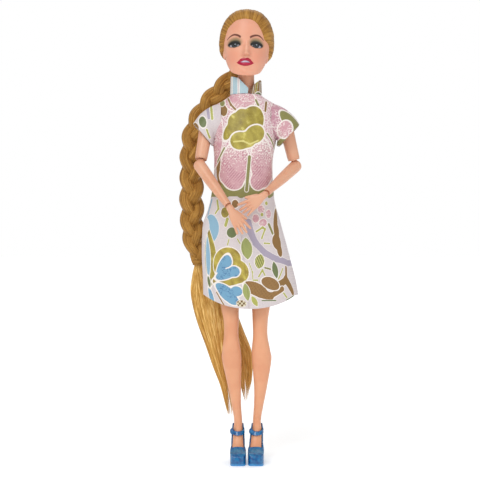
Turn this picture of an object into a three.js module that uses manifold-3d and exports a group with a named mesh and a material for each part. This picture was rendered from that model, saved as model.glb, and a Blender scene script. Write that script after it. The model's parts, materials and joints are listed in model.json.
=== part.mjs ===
// Fashion doll, 30 cm class, with a long three-strand plait, a brocade dress and heeled shoes.
// Millimetres, +Z up. The doll faces -Y, so its right side lies at -X, and its soles stand on z = 0.
// It stands as it is posed: both arms bent, the hands meeting low in front of the skirt.

import * as THREE from 'three';
import { mergeVertices } from 'three/addons/utils/BufferGeometryUtils.js';
import Module from 'manifold-3d';

const wasm = await Module();
wasm.setup();

const DEG = Math.PI / 180;
const GAP = 0.3; // clearance left between pieces that touch
const CLOTH = 0.8; // thickness of the dress fabric
const point = (x, y, z) => new THREE.Vector3(x, y, z);
const ORIGIN = point(0, 0, 0);
const X = point(1, 0, 0);
const Y = point(0, 1, 0);
const Z = point(0, 0, 1);

// Joint centres of the posed figure
const HEAD_PIVOT = point(0, 0, 266);
const HEAD_TILT = 2.2;
const ARMS = {
  right: {
    side: -1,
    shoulder: point(-25.5, 0, 226.5),
    elbow: point(-30.2, -9.5, 196.4),
    wrist: point(-10.4, -26, 168.2),
    handRuns: point(0.5, -0.08, -0.86),
  },
  left: {
    side: 1,
    shoulder: point(25.5, 0, 226.5),
    elbow: point(33.0, 5, 197),
    wrist: point(11.9, -19.8, 177),
    handRuns: point(-0.79, -0.05, -0.6),
  },
};
const HIP_Z = 151;
const HIP_X = 9.8;
const KNEE = { y: -2, z: 85 };
// Where each leg's centre line stands, in X, at the hem, the knee, the calf, the shin, the ankle
// and the toes. The two legs of the posed doll aren't quite mirror images.
const LEGS = {
  right: { side: -1, hem: -10.5, knee: -9.8, calf: -9.4, shin: -7.6, ankle: -5.3, toe: -5.3 },
  left: { side: 1, hem: 9.8, knee: 9.4, calf: 10.4, shin: 9.7, ankle: 7.4, toe: 6.5 },
};
const STANCE = 5.8; // the feet stand this far back, under the weight of the head and the plait

// Ball and tongue hinges: a peg's flat tongue and cross pin sit in a slotted ball
const SHOULDER = { ball: 5, tongue: 3.2, wide: 2.6, pin: 0.9, pinHalf: 3.9, stem: 2.2, from: 5.3, to: 12 };
const ELBOW = { ball: 4, tongue: 2.9, wide: 2.2, pin: 0.8, pinHalf: 3.1, stem: 1.3, from: 4.6, to: 12 };
const WRIST = { ball: 2.4, tongue: 1.5, wide: 1.2, pin: 0.5, pinHalf: 1.9, stem: 0.8, from: 1.4, to: 7.5 };
const HIP = { ball: 8.2, tongue: 4.6, wide: 5, pin: 1.2, pinHalf: 6.8, stem: 2.5, from: 4, to: 8.1 };
const HIP_BAR = { radius: 1.2, half: 5.6 };
const KNEE_HINGE = { rod: 1.9, wide: 1.2, pin: 0.6 };

// Surface colours and gloss
const finish = (color, roughness) => new THREE.MeshStandardMaterial({ color, roughness, metalness: 0 });
const SKIN = finish('#f0b795', 0.42);
const HARD_SKIN = finish('#eeb391', 0.35);
const HAIR = finish('#c8963c', 0.45);
const BROCADE = finish('#bfb2a6', 0.6);
const SHOE = finish('#1e6cb4', 0.15);
const PEG = finish('#e6d6c4', 0.4);
const METAL = new THREE.MeshStandardMaterial({ color: '#b9bcc0', roughness: 0.3, metalness: 1 });
const STRIP = finish('#f2f0ec', 0.9);

// Sum of the signed tetrahedra under each face: negative where the faces point inwards
function signedVolume(position, index) {
  const corner = [point(0, 0, 0), point(0, 0, 0), point(0, 0, 0)];
  let sum = 0;
  for (let i = 0; i < index.length; i += 3) {
    corner.forEach((c, k) => c.fromArray(position, 3 * index[i + k]));
    sum += corner[0].dot(corner[1].cross(corner[2]));
  }
  return sum;
}

// A closed geometry as a solid that can be joined and cut
function solid(geometry) {
  const bare = geometry.clone();
  bare.deleteAttribute('normal');
  bare.deleteAttribute('uv');
  const welded = mergeVertices(bare);
  const vertProperties = Float32Array.from(welded.attributes.position.array);
  const faces = [];
  for (let i = 0; i < welded.index.count; i += 3) {
    const [a, b, c] = welded.index.array.slice(i, i + 3);
    if (a !== b && b !== c && c !== a) faces.push(a, b, c);
  }
  if (signedVolume(vertProperties, faces) < 0) faces.reverse();
  return new wasm.Manifold(new wasm.Mesh({ numProp: 3, vertProperties, triVerts: Uint32Array.from(faces) }));
}

const join = (...solids) => solids.reduce((whole, piece) => whole.add(piece));
const cut = (whole, ...tools) => tools.reduce((rest, tool) => rest.subtract(tool), whole);

// The largest body of a solid, without the slivers that a cut can leave
const largest = (whole) => whole.decompose().sort((a, b) => b.volume() - a.volume())[0];

function geometryOf(whole) {
  const { vertProperties, triVerts } = whole.getMesh();
  const geometry = new THREE.BufferGeometry();
  geometry.setAttribute('position', new THREE.BufferAttribute(vertProperties, 3));
  geometry.setIndex(new THREE.BufferAttribute(triVerts, 1));
  geometry.computeVertexNormals();
  return geometry;
}

function mesh(name, whole, material) {
  const piece = new THREE.Mesh(geometryOf(largest(whole)), material);
  piece.name = name;
  return piece;
}

// A closed skin through rings of equally many points, with a fan over each end
function loft(rings) {
  const sides = rings[0].length;
  const middle = (ring) => ring.reduce((sum, p) => sum.add(p), point(0, 0, 0)).divideScalar(sides);
  const points = [...rings.flat(), middle(rings[0]), middle(rings.at(-1))];
  const last = sides * (rings.length - 1);
  const index = [];
  for (let i = 0; i < sides; i += 1) {
    const next = (i + 1) % sides;
    for (let row = 0; row < last; row += sides) {
      index.push(row + i, row + next, row + next + sides);
      index.push(row + i, row + next + sides, row + i + sides);
    }
    index.push(points.length - 2, next, i);
    index.push(points.length - 1, last + i, last + next);
  }
  const geometry = new THREE.BufferGeometry().setFromPoints(points);
  geometry.setIndex(index);
  return solid(geometry);
}

// Stations run down a limb or garment as [x, y, z, half width, front depth, back depth, pitch, roll],
// and a smooth curve through them gives the rings between.
function smooth(stations, perSpan) {
  const rows = stations.map((row) => [...row, 0, 0].slice(0, 8));
  const curve = new THREE.CubicInterpolant(rows.map((_, i) => i), rows.flat(), 8);
  const steps = perSpan * (rows.length - 1);
  return Array.from({ length: steps + 1 }, (_, i) => Array.from(curve.evaluate(i / perSpan)));
}

// One ring: an oval with its own front and back depth. bunch draws its points towards the front.
function ringAt([x, y, z, wide, front, back, pitch, roll], sides, grow, bunch) {
  const turn = new THREE.Euler(pitch * DEG, roll * DEG, 0);
  return Array.from({ length: sides }, (_, i) => {
    const even = (2 * Math.PI * i) / sides;
    const angle = even - bunch * Math.cos(even);
    const depth = Math.sin(angle) < 0 ? front : back;
    const flat = point((wide + grow) * Math.cos(angle), (depth + grow) * Math.sin(angle), 0);
    return flat.applyEuler(turn).add(point(x, y, z));
  });
}

function body(stations, { perSpan = 1, sides = 14, grow = 0, bunch = 0, shape = (p) => p } = {}) {
  return loft(smooth(stations, perSpan).map((row) => ringAt(row, sides, grow, bunch).map(shape)));
}

function ball(radius, at = ORIGIN, scale = point(1, 1, 1), sides = 14) {
  const sphere = new THREE.SphereGeometry(radius, sides, Math.round(0.6 * sides)).rotateX(Math.PI / 2);
  return solid(sphere.scale(scale.x, scale.y, scale.z).translate(at.x, at.y, at.z));
}

function rod(radius, length, axis, at = ORIGIN, sides = 12) {
  const bar = new THREE.CylinderGeometry(radius, radius, length, sides);
  bar.applyQuaternion(new THREE.Quaternion().setFromUnitVectors(Y, axis));
  return solid(bar.translate(at.x, at.y, at.z));
}

function block(size, at) {
  return solid(new THREE.BoxGeometry(size.x, size.y, size.z).translate(at.x, at.y, at.z));
}

// A profile of [radius, z] points turned about Z
function turned(profile, sides = 14) {
  const lathe = new THREE.LatheGeometry(profile.map(([r, z]) => new THREE.Vector2(r, z)), sides);
  return solid(lathe.rotateX(Math.PI / 2));
}

const outline = (points) => new THREE.Shape(points.map(([u, v]) => new THREE.Vector2(u, v)));
const extruded = (shape, depth) =>
  new THREE.ExtrudeGeometry(shape, { depth, bevelEnabled: false, curveSegments: 2 });

// Outlines drawn as seen from the side (Y, Z), the front (X, Z) or above (X, Y)
const fromSide = (shape, half, x = 0) =>
  solid(extruded(shape, 2 * half).translate(0, 0, -half).rotateX(Math.PI / 2).rotateZ(Math.PI / 2).translate(x, 0, 0));
const fromFront = (shape, nearY, farY) =>
  solid(extruded(shape, farY - nearY).rotateX(Math.PI / 2).translate(0, farY, 0));
const fromAbove = (shape, low, high) => solid(extruded(shape, high - low).translate(0, 0, low));

// A frame whose -Z runs from one joint centre to the next, with X along a hinge line
function limbFrame(at, runs, hinge) {
  const up = runs.clone().normalize().negate();
  const across = hinge.clone().addScaledVector(up, -hinge.dot(up)).normalize();
  const frame = new THREE.Group();
  frame.position.copy(at);
  frame.quaternion.setFromRotationMatrix(
    new THREE.Matrix4().makeBasis(across, up.clone().cross(across), up),
  );
  return frame;
}

// Room for a tongue and its pin: a slot open upwards and to both sides, and a round hole across
function clevis(axis, { ball: reach, tongue, wide, pin }) {
  const size = point(3 * reach, 3 * reach, 2 * reach + tongue + GAP);
  size[axis] = wide + 2 * GAP;
  const slot = block(size, point(0, 0, size.z / 2 - tongue - GAP));
  return join(slot, rod(pin + GAP, 3 * reach, axis === 'x' ? X : Y, ORIGIN, 8));
}

// A plain round stem along +Z
const plainStem = ({ stem, from, to }) => rod(stem, to - from, Z, point(0, 0, (from + to) / 2), 10);

// The peg's own body: tongue and pin about the given axis, a flat neck, and a stem along +Z
function peg(axis, { tongue, wide, pin, pinHalf, from }, stem) {
  const line = axis === 'x' ? X : Y;
  const neck = point(1.1 * tongue, 1.1 * tongue, from + 0.5);
  neck[axis] = wide;
  return join(
    rod(tongue, wide, line, ORIGIN, 10),
    rod(pin, 2 * pinHalf, line, ORIGIN, 8),
    block(neck, point(0, 0, neck.z / 2)),
    stem,
  );
}

// HEAD

const PLUG = 8.7; // radius of the ball form under the head that rides in the neck's cup
const KNOB = { radius: 4.4, stem: 1.8 };

// Rings of the head from the underside of the jaw to the crown, in stations as above; the jaw's rings
// are pitched down to the chin
const HEAD_STATIONS = [
  [0, -5, -5.8, 3, 3, 3, 24],
  [0, -5.2, -6.2, 7, 6.6, 6.6, 24],
  [0, -5.6, -7, 10.4, 9.9, 9.9, 24],
  [0, -4, -5, 11.5, 11.9, 11.9, 21],
  [0, -1.5, -1.5, 12.9, 14.4, 14.4, 12],
  [0, -0.3, 2, 13.9, 15.8, 15.8, 5],
  [0, 0.6, 6, 14.8, 16.8, 16.8],
  [0, 1.4, 12, 15.2, 17.4, 17.4],
  [0, 1.6, 20, 14.6, 16.8, 16.8],
  [0, 1.5, 26.6, 12.3, 14.1, 14.1],
  [0, 1.6, 30.4, 7.9, 9.6, 9.6],
  [0, 1.7, 31.8, 2, 3.1, 3.1],
];

// The moulded face: each feature pushes the front out (or in) round its own spot
const FACE = [
  { name: 'nose tip', x: 0, z: 2.7, wide: 1.7, tall: 1.6, out: 2.9 },
  { name: 'nose bridge', x: 0, z: 6.4, wide: 1.5, tall: 3.2, out: 1.5 },
  { name: 'nostrils', x: 1.7, z: 2.1, wide: 1.1, tall: 1, out: 0.9, pair: true },
  { name: 'eye socket', x: 6.4, z: 8.2, wide: 3.8, tall: 2.4, out: -1.5, pair: true },
  { name: 'eyeball', x: 6.8, z: 7.7, wide: 2.7, tall: 1.7, out: 0.8, pair: true },
  { name: 'upper lip', x: 0, z: -1.6, wide: 3.6, tall: 0.8, out: 0.9 },
  { name: 'lower lip', x: 0, z: -4.2, wide: 3, tall: 0.9, out: 1 },
  { name: 'under lip', x: 0, z: -6.4, wide: 3.2, tall: 1, out: -0.4 },
  { name: 'chin', x: 0, z: -8.8, wide: 3.4, tall: 1.8, out: 0.9 },
  { name: 'cheek', x: 8.2, z: 1.4, wide: 3.4, tall: 3.6, out: 0.6, pair: true },
];

function sculptFace(p) {
  if (p.y > 0) return p;
  const push = FACE.reduce((sum, { x, z, wide, tall, out, pair }) => {
    const across = ((pair ? Math.abs(p.x) : p.x) - x) / wide;
    const up = (p.z - z) / tall;
    return sum + out * Math.exp(-across * across - up * up);
  }, 0);
  return point(p.x, p.y - push, p.z);
}

function headForm() {
  const skull = body(HEAD_STATIONS, { perSpan: 2, sides: 20, bunch: 0.55, shape: sculptFace });
  const ear = (side) => ball(3.4, point(side * 14.6, 0.5, 5), point(0.4, 0.62, 1), 10);
  return join(skull, ear(-1), ear(1), ball(PLUG, ORIGIN, undefined, 14));
}

// Round cavity for the knob, and a flared way down for its stem so that the head can nod
function knobCavity() {
  const flare = turned([[0, 0], [KNOB.stem + 0.5, 0], [KNOB.stem + 3.8, -14], [0, -14]], 10);
  return join(ball(KNOB.radius + GAP, ORIGIN, undefined, 12), flare);
}

// Rings of the hair pulled close to the skull, and the hairline that it leaves bare
const HAIR_STATIONS = [
  [0, 8.4, -5.4, 3.4, 4.8, 4.8],
  [0, 7, -3.2, 8, 9.4, 9.4],
  [0, 5.4, 0, 12.8, 14, 14],
  [0, 4.2, 3, 16.2, 16.4, 16.4],
  [0, 3.6, 7, 17.8, 17.9, 17.9],
  [0, 3.2, 13, 18.3, 19.6, 19.6],
  [0, 2.6, 21, 17.2, 19.4, 19.4],
  [0, 1.8, 28.2, 13.6, 16.2, 16.2],
  [0, 1.7, 32.6, 8.2, 10.7, 10.7],
  [0, 1.8, 34, 1.8, 2.8, 2.8],
];
const HAIRLINE = [[0, 26.2], [6, 24.8], [10.6, 20], [12.8, 13], [13.8, 6], [14.4, -14]];

function hairForm(grow) {
  return body(HAIR_STATIONS, { sides: 18, grow });
}

function hairCap() {
  const mirrored = HAIRLINE.slice(1).reverse().map(([x, z]) => [-x, z]);
  const face = new THREE.Shape();
  const edge = [...mirrored, ...HAIRLINE].map(([x, z]) => new THREE.Vector2(x, z));
  face.moveTo(edge[0].x, edge[0].y);
  face.splineThru(edge.slice(1));
  const under = rod(PLUG + 1, 20, Z, point(0, 0, -8));
  const skull = body(HEAD_STATIONS, { sides: 16, grow: 3 * GAP });
  const ear = (side) => ball(3.4 + 2 * GAP, point(side * 14.6, 0.5, 5), point(0.4, 0.62, 1), 8);
  return cut(hairForm(0), skull, ear(-1), ear(1), fromFront(face, -30, -2), under);
}

function head() {
  const group = new THREE.Group();
  group.position.copy(HEAD_PIVOT);
  group.rotation.y = HEAD_TILT * DEG;
  group.add(mesh('head', cut(headForm(), knobCavity()), SKIN));
  group.add(mesh('hair_cap', hairCap(), HAIR));
  return group;
}

// The knob on its stem, with a foot that holds it down between the torso halves
function neckStem(grow) {
  const wide = 2 + grow;
  const foot = 3.2 + grow;
  const low = -24 - grow;
  const ledge = -21.5 + grow;
  return turned([[0, low], [foot, low], [foot, ledge], [wide, ledge], [wide, -6], [0, -6]], 10);
}

function neckPeg() {
  return join(ball(KNOB.radius, ORIGIN, undefined, 12), rod(KNOB.stem, 10, Z, point(0, 0, -5), 10), neckStem(0));
}

// TORSO

const TORSO_STATIONS = [
  [0, 0, 142, 14, 8.5, 9],
  [0, 0, 150, 16.6, 10.5, 11],
  [0, 0, 159, 17.2, 10.4, 9.6],
  [0, 0, 168, 15.4, 9.2, 8.8],
  [0, 0, 178, 12.2, 7.8, 7.4],
  [0, 0, 188, 12.6, 8.2, 7.6],
  [0, 0, 199, 15, 9.4, 8.6],
  [0, 0, 210, 17.2, 10.4, 9],
  [0, 0, 222, 17.6, 9.6, 8.4],
  [0, 0, 230, 17.6, 8.2, 7.6],
  [0, 0, 234.4, 16.8, 7.6, 7.2],
  [0, 0, 238.4, 11.6, 6.6, 6.4],
  [0, 0, 242.4, 7.2, 5.8, 5.8],
  [0, 0, 247, 5.6, 5.4, 5.4],
  [0, 0, 258.2, 5.3, 5.3, 5.3],
];
const PELVIS_FLOOR = HIP_Z + HIP.ball + GAP;
const PELVIS_TAB = 1.3; // half thickness of the tab between the thighs that carries the hip bar

// Stem of a shoulder peg, seen from the shoulder centre towards the spine along +Z
function shoulderStem(grow) {
  const { stem, from, to } = SHOULDER;
  const wide = stem + grow;
  const flange = stem + 1.2 + grow;
  return turned([
    [0, from - grow], [wide, from - grow], [wide, 9.4 - grow], [flange, 9.4 - grow],
    [flange, to + grow], [0, to + grow],
  ], 10);
}

function towardsSpine(whole, side) {
  const turn = new THREE.Matrix4().makeRotationY(-side * 90 * DEG);
  const at = ARMS[side < 0 ? 'right' : 'left'].shoulder;
  return solid(geometryOf(whole).applyMatrix4(turn).translate(at.x, at.y, at.z));
}

function torsoForm() {
  const trunk = body(TORSO_STATIONS, { sides: 18 });
  const bust = (side) => ball(6.4, point(side * 7.4, -7.4, 211), undefined, 10);
  const boss = (side) => rod(4.9, 6, X, point(side * 17, 0, ARMS.left.shoulder.z));
  const whole = join(trunk, bust(-1), bust(1), boss(-1), boss(1));
  const hipRoom = (side) => block(point(24, 40, 40), point(side * (12 + PELVIS_TAB), 0, PELVIS_FLOOR - 20));
  const neckCup = ball(PLUG + GAP, HEAD_PIVOT, undefined, 14);
  const neckWay = solid(geometryOf(neckStem(GAP)).translate(0, 0, HEAD_PIVOT.z));
  const hipBarWay = rod(HIP_BAR.radius + GAP, 12, X, point(0, 0, HIP_Z));
  const stems = [-1, 1].map((side) => towardsSpine(shoulderStem(GAP), side));
  return cut(whole, hipRoom(-1), hipRoom(1), neckCup, neckWay, hipBarWay, ...stems);
}

function torso() {
  const whole = torsoForm();
  const half = (sign) => block(point(80, 40, 300), point(0, sign * (20 + GAP / 2), 150));
  const group = new THREE.Group();
  group.add(mesh('torso_front', whole.intersect(half(-1)), HARD_SKIN));
  group.add(mesh('torso_back', whole.intersect(half(1)), HARD_SKIN));
  group.add(mesh('hip_bar', rod(HIP_BAR.radius, 2 * HIP_BAR.half, X, point(0, 0, HIP_Z), 14), METAL));
  const neck = new THREE.Group();
  neck.position.copy(HEAD_PIVOT);
  neck.add(mesh('neck_peg', neckPeg(), PEG));
  group.add(neck);
  return group;
}

// ARMS

const UPPER_ARM_END = 5.6; // the upper arm stops this far above the elbow centre
const FOREARM_END = 2.8; // and the forearm this far above the wrist centre

function upperArm(length) {
  const end = length - UPPER_ARM_END;
  const flesh = body([
    [0, 0, 0, 4.8, 4.8, 4.8],
    [0, 0, -7, 4.5, 4.6, 4.6],
    [0, 0, -0.6 * end, 4.2, 4.3, 4.3],
    [0, 0, -end, 4, 4, 4],
  ], { sides: 10 });
  const bore = rod(ELBOW.stem + GAP, 2 * (ELBOW.to - UPPER_ARM_END + GAP), Z, point(0, 0, -end), 10);
  return cut(join(ball(SHOULDER.ball, ORIGIN, undefined, 12), flesh), clevis('x', SHOULDER), bore);
}

function elbowPeg() {
  const ring = rod(3.9, 0.9, Z, point(0, 0, 4.85), 12);
  return join(peg('x', ELBOW, plainStem(ELBOW)), ring);
}

function forearm(length) {
  const end = length - FOREARM_END;
  const flesh = body([
    [0, 0, 0, 3.9, 3.9, 3.9],
    [0, 0, -8, 3.9, 3.9, 3.9],
    [0, 0, -0.55 * end, 3.4, 3.4, 3.4],
    [0, 0, -0.85 * end, 2.6, 2.6, 2.6],
    [0, 0, -end, 2.4, 2.4, 2.4],
  ], { sides: 10 });
  const bore = rod(WRIST.stem + GAP, 2 * (WRIST.to - FOREARM_END + GAP), Z, point(0, 0, -end), 10);
  return cut(join(ball(ELBOW.ball, ORIGIN, undefined, 12), flesh), clevis('x', ELBOW), bore);
}

// A tapered finger with a round tip, from its root towards its tip
function finger(root, tip, rootRadius, tipRadius) {
  const along = tip.clone().sub(root);
  const length = along.length();
  const profile = [
    [0, 0], [rootRadius, 0], [1.1 * tipRadius, length - 1.2 * tipRadius],
    [0.7 * tipRadius, length - 0.3 * tipRadius], [0, length],
  ];
  const lathe = new THREE.LatheGeometry(profile.map(([r, h]) => new THREE.Vector2(r, h)), 5);
  lathe.applyQuaternion(new THREE.Quaternion().setFromUnitVectors(Y, along.normalize()));
  return solid(lathe.translate(root.x, root.y, root.z));
}

// Fingers fan from the knuckles: where each starts across the palm, its splay and its length
const FINGERS = [
  { across: 2.9, splay: 15, long: 9, root: 1.15 },
  { across: 1, splay: 4, long: 9.8, root: 1.2 },
  { across: -1, splay: -1, long: 9.2, root: 1.15 },
  { across: -2.8, splay: -11, long: 7.8, root: 1.05 },
];
const KNUCKLES_Z = -9.6;

// A hand hanging from its wrist, fingers along -Z, palm towards +Y, thumb towards thumbSide on X
function hand(thumbSide) {
  const palm = body([
    [0, 0, 0.4, 2.3, 2.2, 2.2],
    [0, 0, -2.6, 2.6, 2, 2],
    [0.3 * thumbSide, 0, -6, 3.9, 1.8, 1.7],
    [0, 0, -9.6, 4.1, 1.4, 1.4],
    [0, 0, -11.4, 3.4, 0.7, 0.7],
  ], { sides: 8 });
  const fingers = FINGERS.map(({ across, splay, long, root }) => {
    const from = point(thumbSide * across, 0, KNUCKLES_Z);
    const lean = thumbSide * splay * DEG;
    const to = point(from.x + long * Math.sin(lean), 0.6, KNUCKLES_Z - long * Math.cos(lean));
    return finger(from, to, root, 0.75);
  });
  const thumb = finger(point(thumbSide * 2.2, 0.3, -4), point(thumbSide * 6.2, 0.9, -11.6), 1.4, 0.85);
  return cut(join(ball(WRIST.ball, ORIGIN, undefined, 8), palm, ...fingers, thumb), clevis('x', WRIST));
}

function arm(name) {
  const { side, shoulder, elbow, wrist, handRuns } = ARMS[name];
  const upperRuns = elbow.clone().sub(shoulder);
  const foreRuns = wrist.clone().sub(elbow);
  const shoulderHinge = X.clone().cross(upperRuns).normalize();
  const elbowHinge = foreRuns.clone().cross(upperRuns).normalize();
  const wristHinge = foreRuns.clone().cross(handRuns).normalize();
  const frames = {
    shoulder_peg: limbFrame(shoulder, X.clone().multiplyScalar(side), shoulderHinge),
    upper_arm: limbFrame(shoulder, upperRuns, shoulderHinge),
    elbow_peg: limbFrame(elbow, upperRuns, elbowHinge),
    forearm: limbFrame(elbow, foreRuns, elbowHinge),
    wrist_peg: limbFrame(wrist, foreRuns, wristHinge),
    hand: limbFrame(wrist, handRuns, wristHinge),
  };
  const solids = {
    shoulder_peg: peg('x', SHOULDER, shoulderStem(0)),
    upper_arm: upperArm(upperRuns.length()),
    elbow_peg: elbowPeg(),
    forearm: forearm(foreRuns.length()),
    wrist_peg: peg('x', WRIST, plainStem(WRIST)),
    hand: hand(-side),
  };
  const group = new THREE.Group();
  Object.entries(solids).forEach(([piece, whole]) => {
    const material = piece.endsWith('peg') && piece !== 'elbow_peg' ? PEG : HARD_SKIN;
    frames[piece].add(mesh(`${name}_${piece}`, whole, material));
    group.add(frames[piece]);
  });
  return group;
}

// LEGS

const KNEE_TOP = 95; // the bending band of the leg skin lies between these two heights
const KNEE_BOTTOM = 75;
const ARMATURE_TOP = 128;
const ARMATURE_BOTTOM = 40;

// The soft leg and foot: thigh, knee, calf, ankle, then the arched foot turning forward to the toes
function legStations({ side, hem, knee, calf, shin, ankle, toe }) {
  const hip = side * HIP_X;
  return [
    [hip, 0, 151, 7.9, 7.9, 7.9],
    [hip, -0.2, 140, 8.5, 8.6, 8.6],
    [hip, -0.6, 128, 8.1, 8.3, 8.2],
    [(hip + hem) / 2, -1, 115, 7, 7.3, 7],
    [hem, -1.4, 103, 5.9, 6.3, 5.9],
    [knee, -1.8, KNEE_TOP, 5.1, 5.6, 5],
    [knee, -2, KNEE.z, 4.8, 5.2, 4.6],
    [(knee + calf) / 2, -1.4, KNEE_BOTTOM, 6.1, 5.2, 6.6],
    [calf, 0.3, 68, 6.4, 5, 7.2],
    [shin, 3.6, 50, 4.3, 4, 4.6],
    [(shin + ankle) / 2, 6, 38, 3.2, 3.3, 3.6],
    [ankle, STANCE + 2, 28, 2.7, 3, 3.5],
    [ankle, STANCE + 1.8, 21.5, 3, 3.4, 4.2, -12],
    [(ankle + toe) / 2, STANCE - 0.4, 16, 3.4, 3.3, 3.8, -38],
    [toe, STANCE - 4.4, 10.6, 3.7, 2.8, 2.6, -58],
    [toe, STANCE - 8.8, 7.2, 4, 2.2, 2.1, -75],
    [toe, STANCE - 12.6, 5.6, 3.8, 1.5, 1.4, -86],
    [toe, STANCE - 14.2, 5.2, 2.8, 0.7, 0.6, -90],
  ];
}

function heelBall({ ankle }, grow) {
  return ball(3 + grow, point(ankle, STANCE + 5, 17.4), point(0.95, 1, 1.45), 7);
}

function legForm(leg) {
  return join(body(legStations(leg), { sides: 12 }), heelBall(leg, 0));
}

// The foot alone, from above the ankle to the toes
function footForm(leg, grow) {
  return join(body(legStations(leg).slice(11), { sides: 10, grow }), heelBall(leg, grow));
}

// A thick slice of space between two heights
const between = (low, high) => block(point(120, 120, high - low), point(0, 0, (low + high) / 2));

// A straight rod from one centre to another
function strut(radius, from, to, sides = 8) {
  const along = to.clone().sub(from);
  return rod(radius, along.length(), along.clone().normalize(), from.clone().add(to).divideScalar(2), sides);
}

function armature(leg) {
  const pivot = point(leg.knee, KNEE.y, KNEE.z);
  const top = point(leg.side * HIP_X, -0.6, ARMATURE_TOP);
  const foot = point((leg.shin + leg.ankle) / 2, 5.7, ARMATURE_BOTTOM);
  return { pivot, top, foot };
}

// Upper half of the bendable knee: a round rod whose end is cut down to a flat tongue
function thighArmature(leg) {
  const { pivot, top } = armature(leg);
  const { rod: radius, wide, pin } = KNEE_HINGE;
  const room = (side) => block(
    point(radius, 4 * radius, 2 * (radius + GAP)),
    pivot.clone().add(point(side * (radius + wide) / 2, 0, 0)),
  );
  const whole = join(strut(radius, pivot, top), ball(radius, pivot, undefined, 8));
  return cut(whole, room(-1), room(1), rod(pin + GAP, 9, X, pivot, 8));
}

// Lower half: a round rod whose end is slotted into a fork of two cheeks
function shinArmature(leg) {
  const { pivot, foot } = armature(leg);
  const { rod: radius, wide, pin } = KNEE_HINGE;
  const slot = block(
    point(wide + 2 * GAP, 4 * radius, 4 * radius),
    pivot.clone().add(point(0, 0, radius - GAP)),
  );
  const whole = join(strut(radius, foot, pivot), ball(radius, pivot, undefined, 8));
  return cut(whole, slot, rod(pin + GAP, 9, X, pivot, 8));
}

function leg(name) {
  const shape = LEGS[name];
  const { pivot, top, foot } = armature(shape);
  const hip = point(shape.side * HIP_X, 0, HIP_Z);
  const grown = GAP + KNEE_HINGE.rod;
  const way = join(
    strut(grown, pivot, top.clone().add(point(0, 0, GAP))),
    ball(grown, pivot, undefined, 8),
    strut(grown, foot.clone().sub(point(0, 0, GAP)), pivot),
  );
  const head = ball(HIP.ball, hip, undefined, 12);
  const slot = solid(geometryOf(clevis('y', HIP)).translate(hip.x, 0, hip.z));
  const whole = cut(join(legForm(shape), head), slot, way);
  const pegBore = rod(HIP_BAR.radius + GAP, 10, Z, point(0, 0, HIP.to), 12);
  const pegFrame = limbFrame(hip, X.clone().multiplyScalar(shape.side), Y);
  pegFrame.add(mesh(`${name}_hip_peg`, cut(peg('x', HIP, plainStem(HIP)), pegBore), PEG));
  const group = new THREE.Group();
  group.add(pegFrame);
  group.add(mesh(`${name}_thigh_skin`, whole.intersect(between(KNEE_TOP + GAP / 2, 170)), SKIN));
  group.add(mesh(`${name}_knee_skin`, whole.intersect(between(KNEE_BOTTOM + GAP / 2, KNEE_TOP - GAP / 2)), SKIN));
  group.add(mesh(`${name}_shin_skin`, whole.intersect(between(0, KNEE_BOTTOM - GAP / 2)), SKIN));
  group.add(mesh(`${name}_thigh_armature`, thighArmature(shape), PEG));
  group.add(mesh(`${name}_shin_armature`, shinArmature(shape), PEG));
  group.add(mesh(`${name}_knee_pin`, rod(KNEE_HINGE.pin, 3.6, X, pivot, 8), METAL));
  group.add(mesh(`${name}_shoe`, shoe(shape), SHOE));
  return group;
}

// SHOES

// Platform, arch and heel as seen from the side, in Y behind the stance line and Z
function soleSide() {
  const shape = new THREE.Shape();
  shape.moveTo(-15, 0);
  shape.quadraticCurveTo(-16.6, 0.6, -16.4, 3);
  shape.lineTo(-15.4, 4.6);
  shape.quadraticCurveTo(-6, 5.4, 2, 14.5);
  shape.lineTo(8.6, 15.5);
  shape.quadraticCurveTo(9.8, 13, 8.9, 8);
  shape.lineTo(9.2, 0);
  shape.lineTo(3.4, 0);
  shape.quadraticCurveTo(4, 8.4, 0.6, 7.4);
  shape.quadraticCurveTo(-3.4, 5.6, -6.4, 0);
  return shape;
}

// The sole as seen from above: a rounded square toe, a waist and a round heel
function solePlan(toe, heel) {
  const shape = new THREE.Shape();
  shape.moveTo(toe - 5.3, -11);
  shape.quadraticCurveTo(toe - 5.2, -16.6, toe, -16.7);
  shape.quadraticCurveTo(toe + 5.2, -16.6, toe + 5.3, -11);
  shape.quadraticCurveTo(heel + 4.8, -4, heel + 3.7, 1);
  shape.quadraticCurveTo(heel + 4.4, 9.4, heel, 9.6);
  shape.quadraticCurveTo(heel - 4.4, 9.4, heel - 3.7, 1);
  shape.quadraticCurveTo(toe - 4.8, -4, toe - 5.3, -11);
  return shape;
}

// Vamp, sides and heel counter, and the strap over the instep, as seen from the side
const UPPER_SIDE = [
  [-18, 2], [-18, 10], [-10, 12.4], [-5.6, 9.4], [-2, 10.8], [1.6, 16], [3.4, 22], [4.6, 26.8], [12, 27.4], [12, 2],
];
const STRAP_SIDE = [[-7, 16.6], [-7, 19.8], [5, 22.6], [5, 19.4]];

function shoe(shape) {
  const back = [0, STANCE, 0];
  const sole = fromSide(soleSide(), 9, shape.toe).intersect(fromAbove(solePlan(shape.toe, shape.ankle), -1, 20));
  const sides = join(fromSide(outline(UPPER_SIDE), 12, shape.toe), fromSide(outline(STRAP_SIDE), 12, shape.toe));
  const upper = footForm(shape, 1.4).intersect(sides.translate(back));
  const lobe = ball(1.9, point(shape.ankle - 3.9, STANCE - 1.4, 20.4), point(0.8, 1, 1.1), 8);
  return cut(join(sole.translate(back), upper, lobe), footForm(shape, 1.5 * GAP));
}

// HAIR

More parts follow.
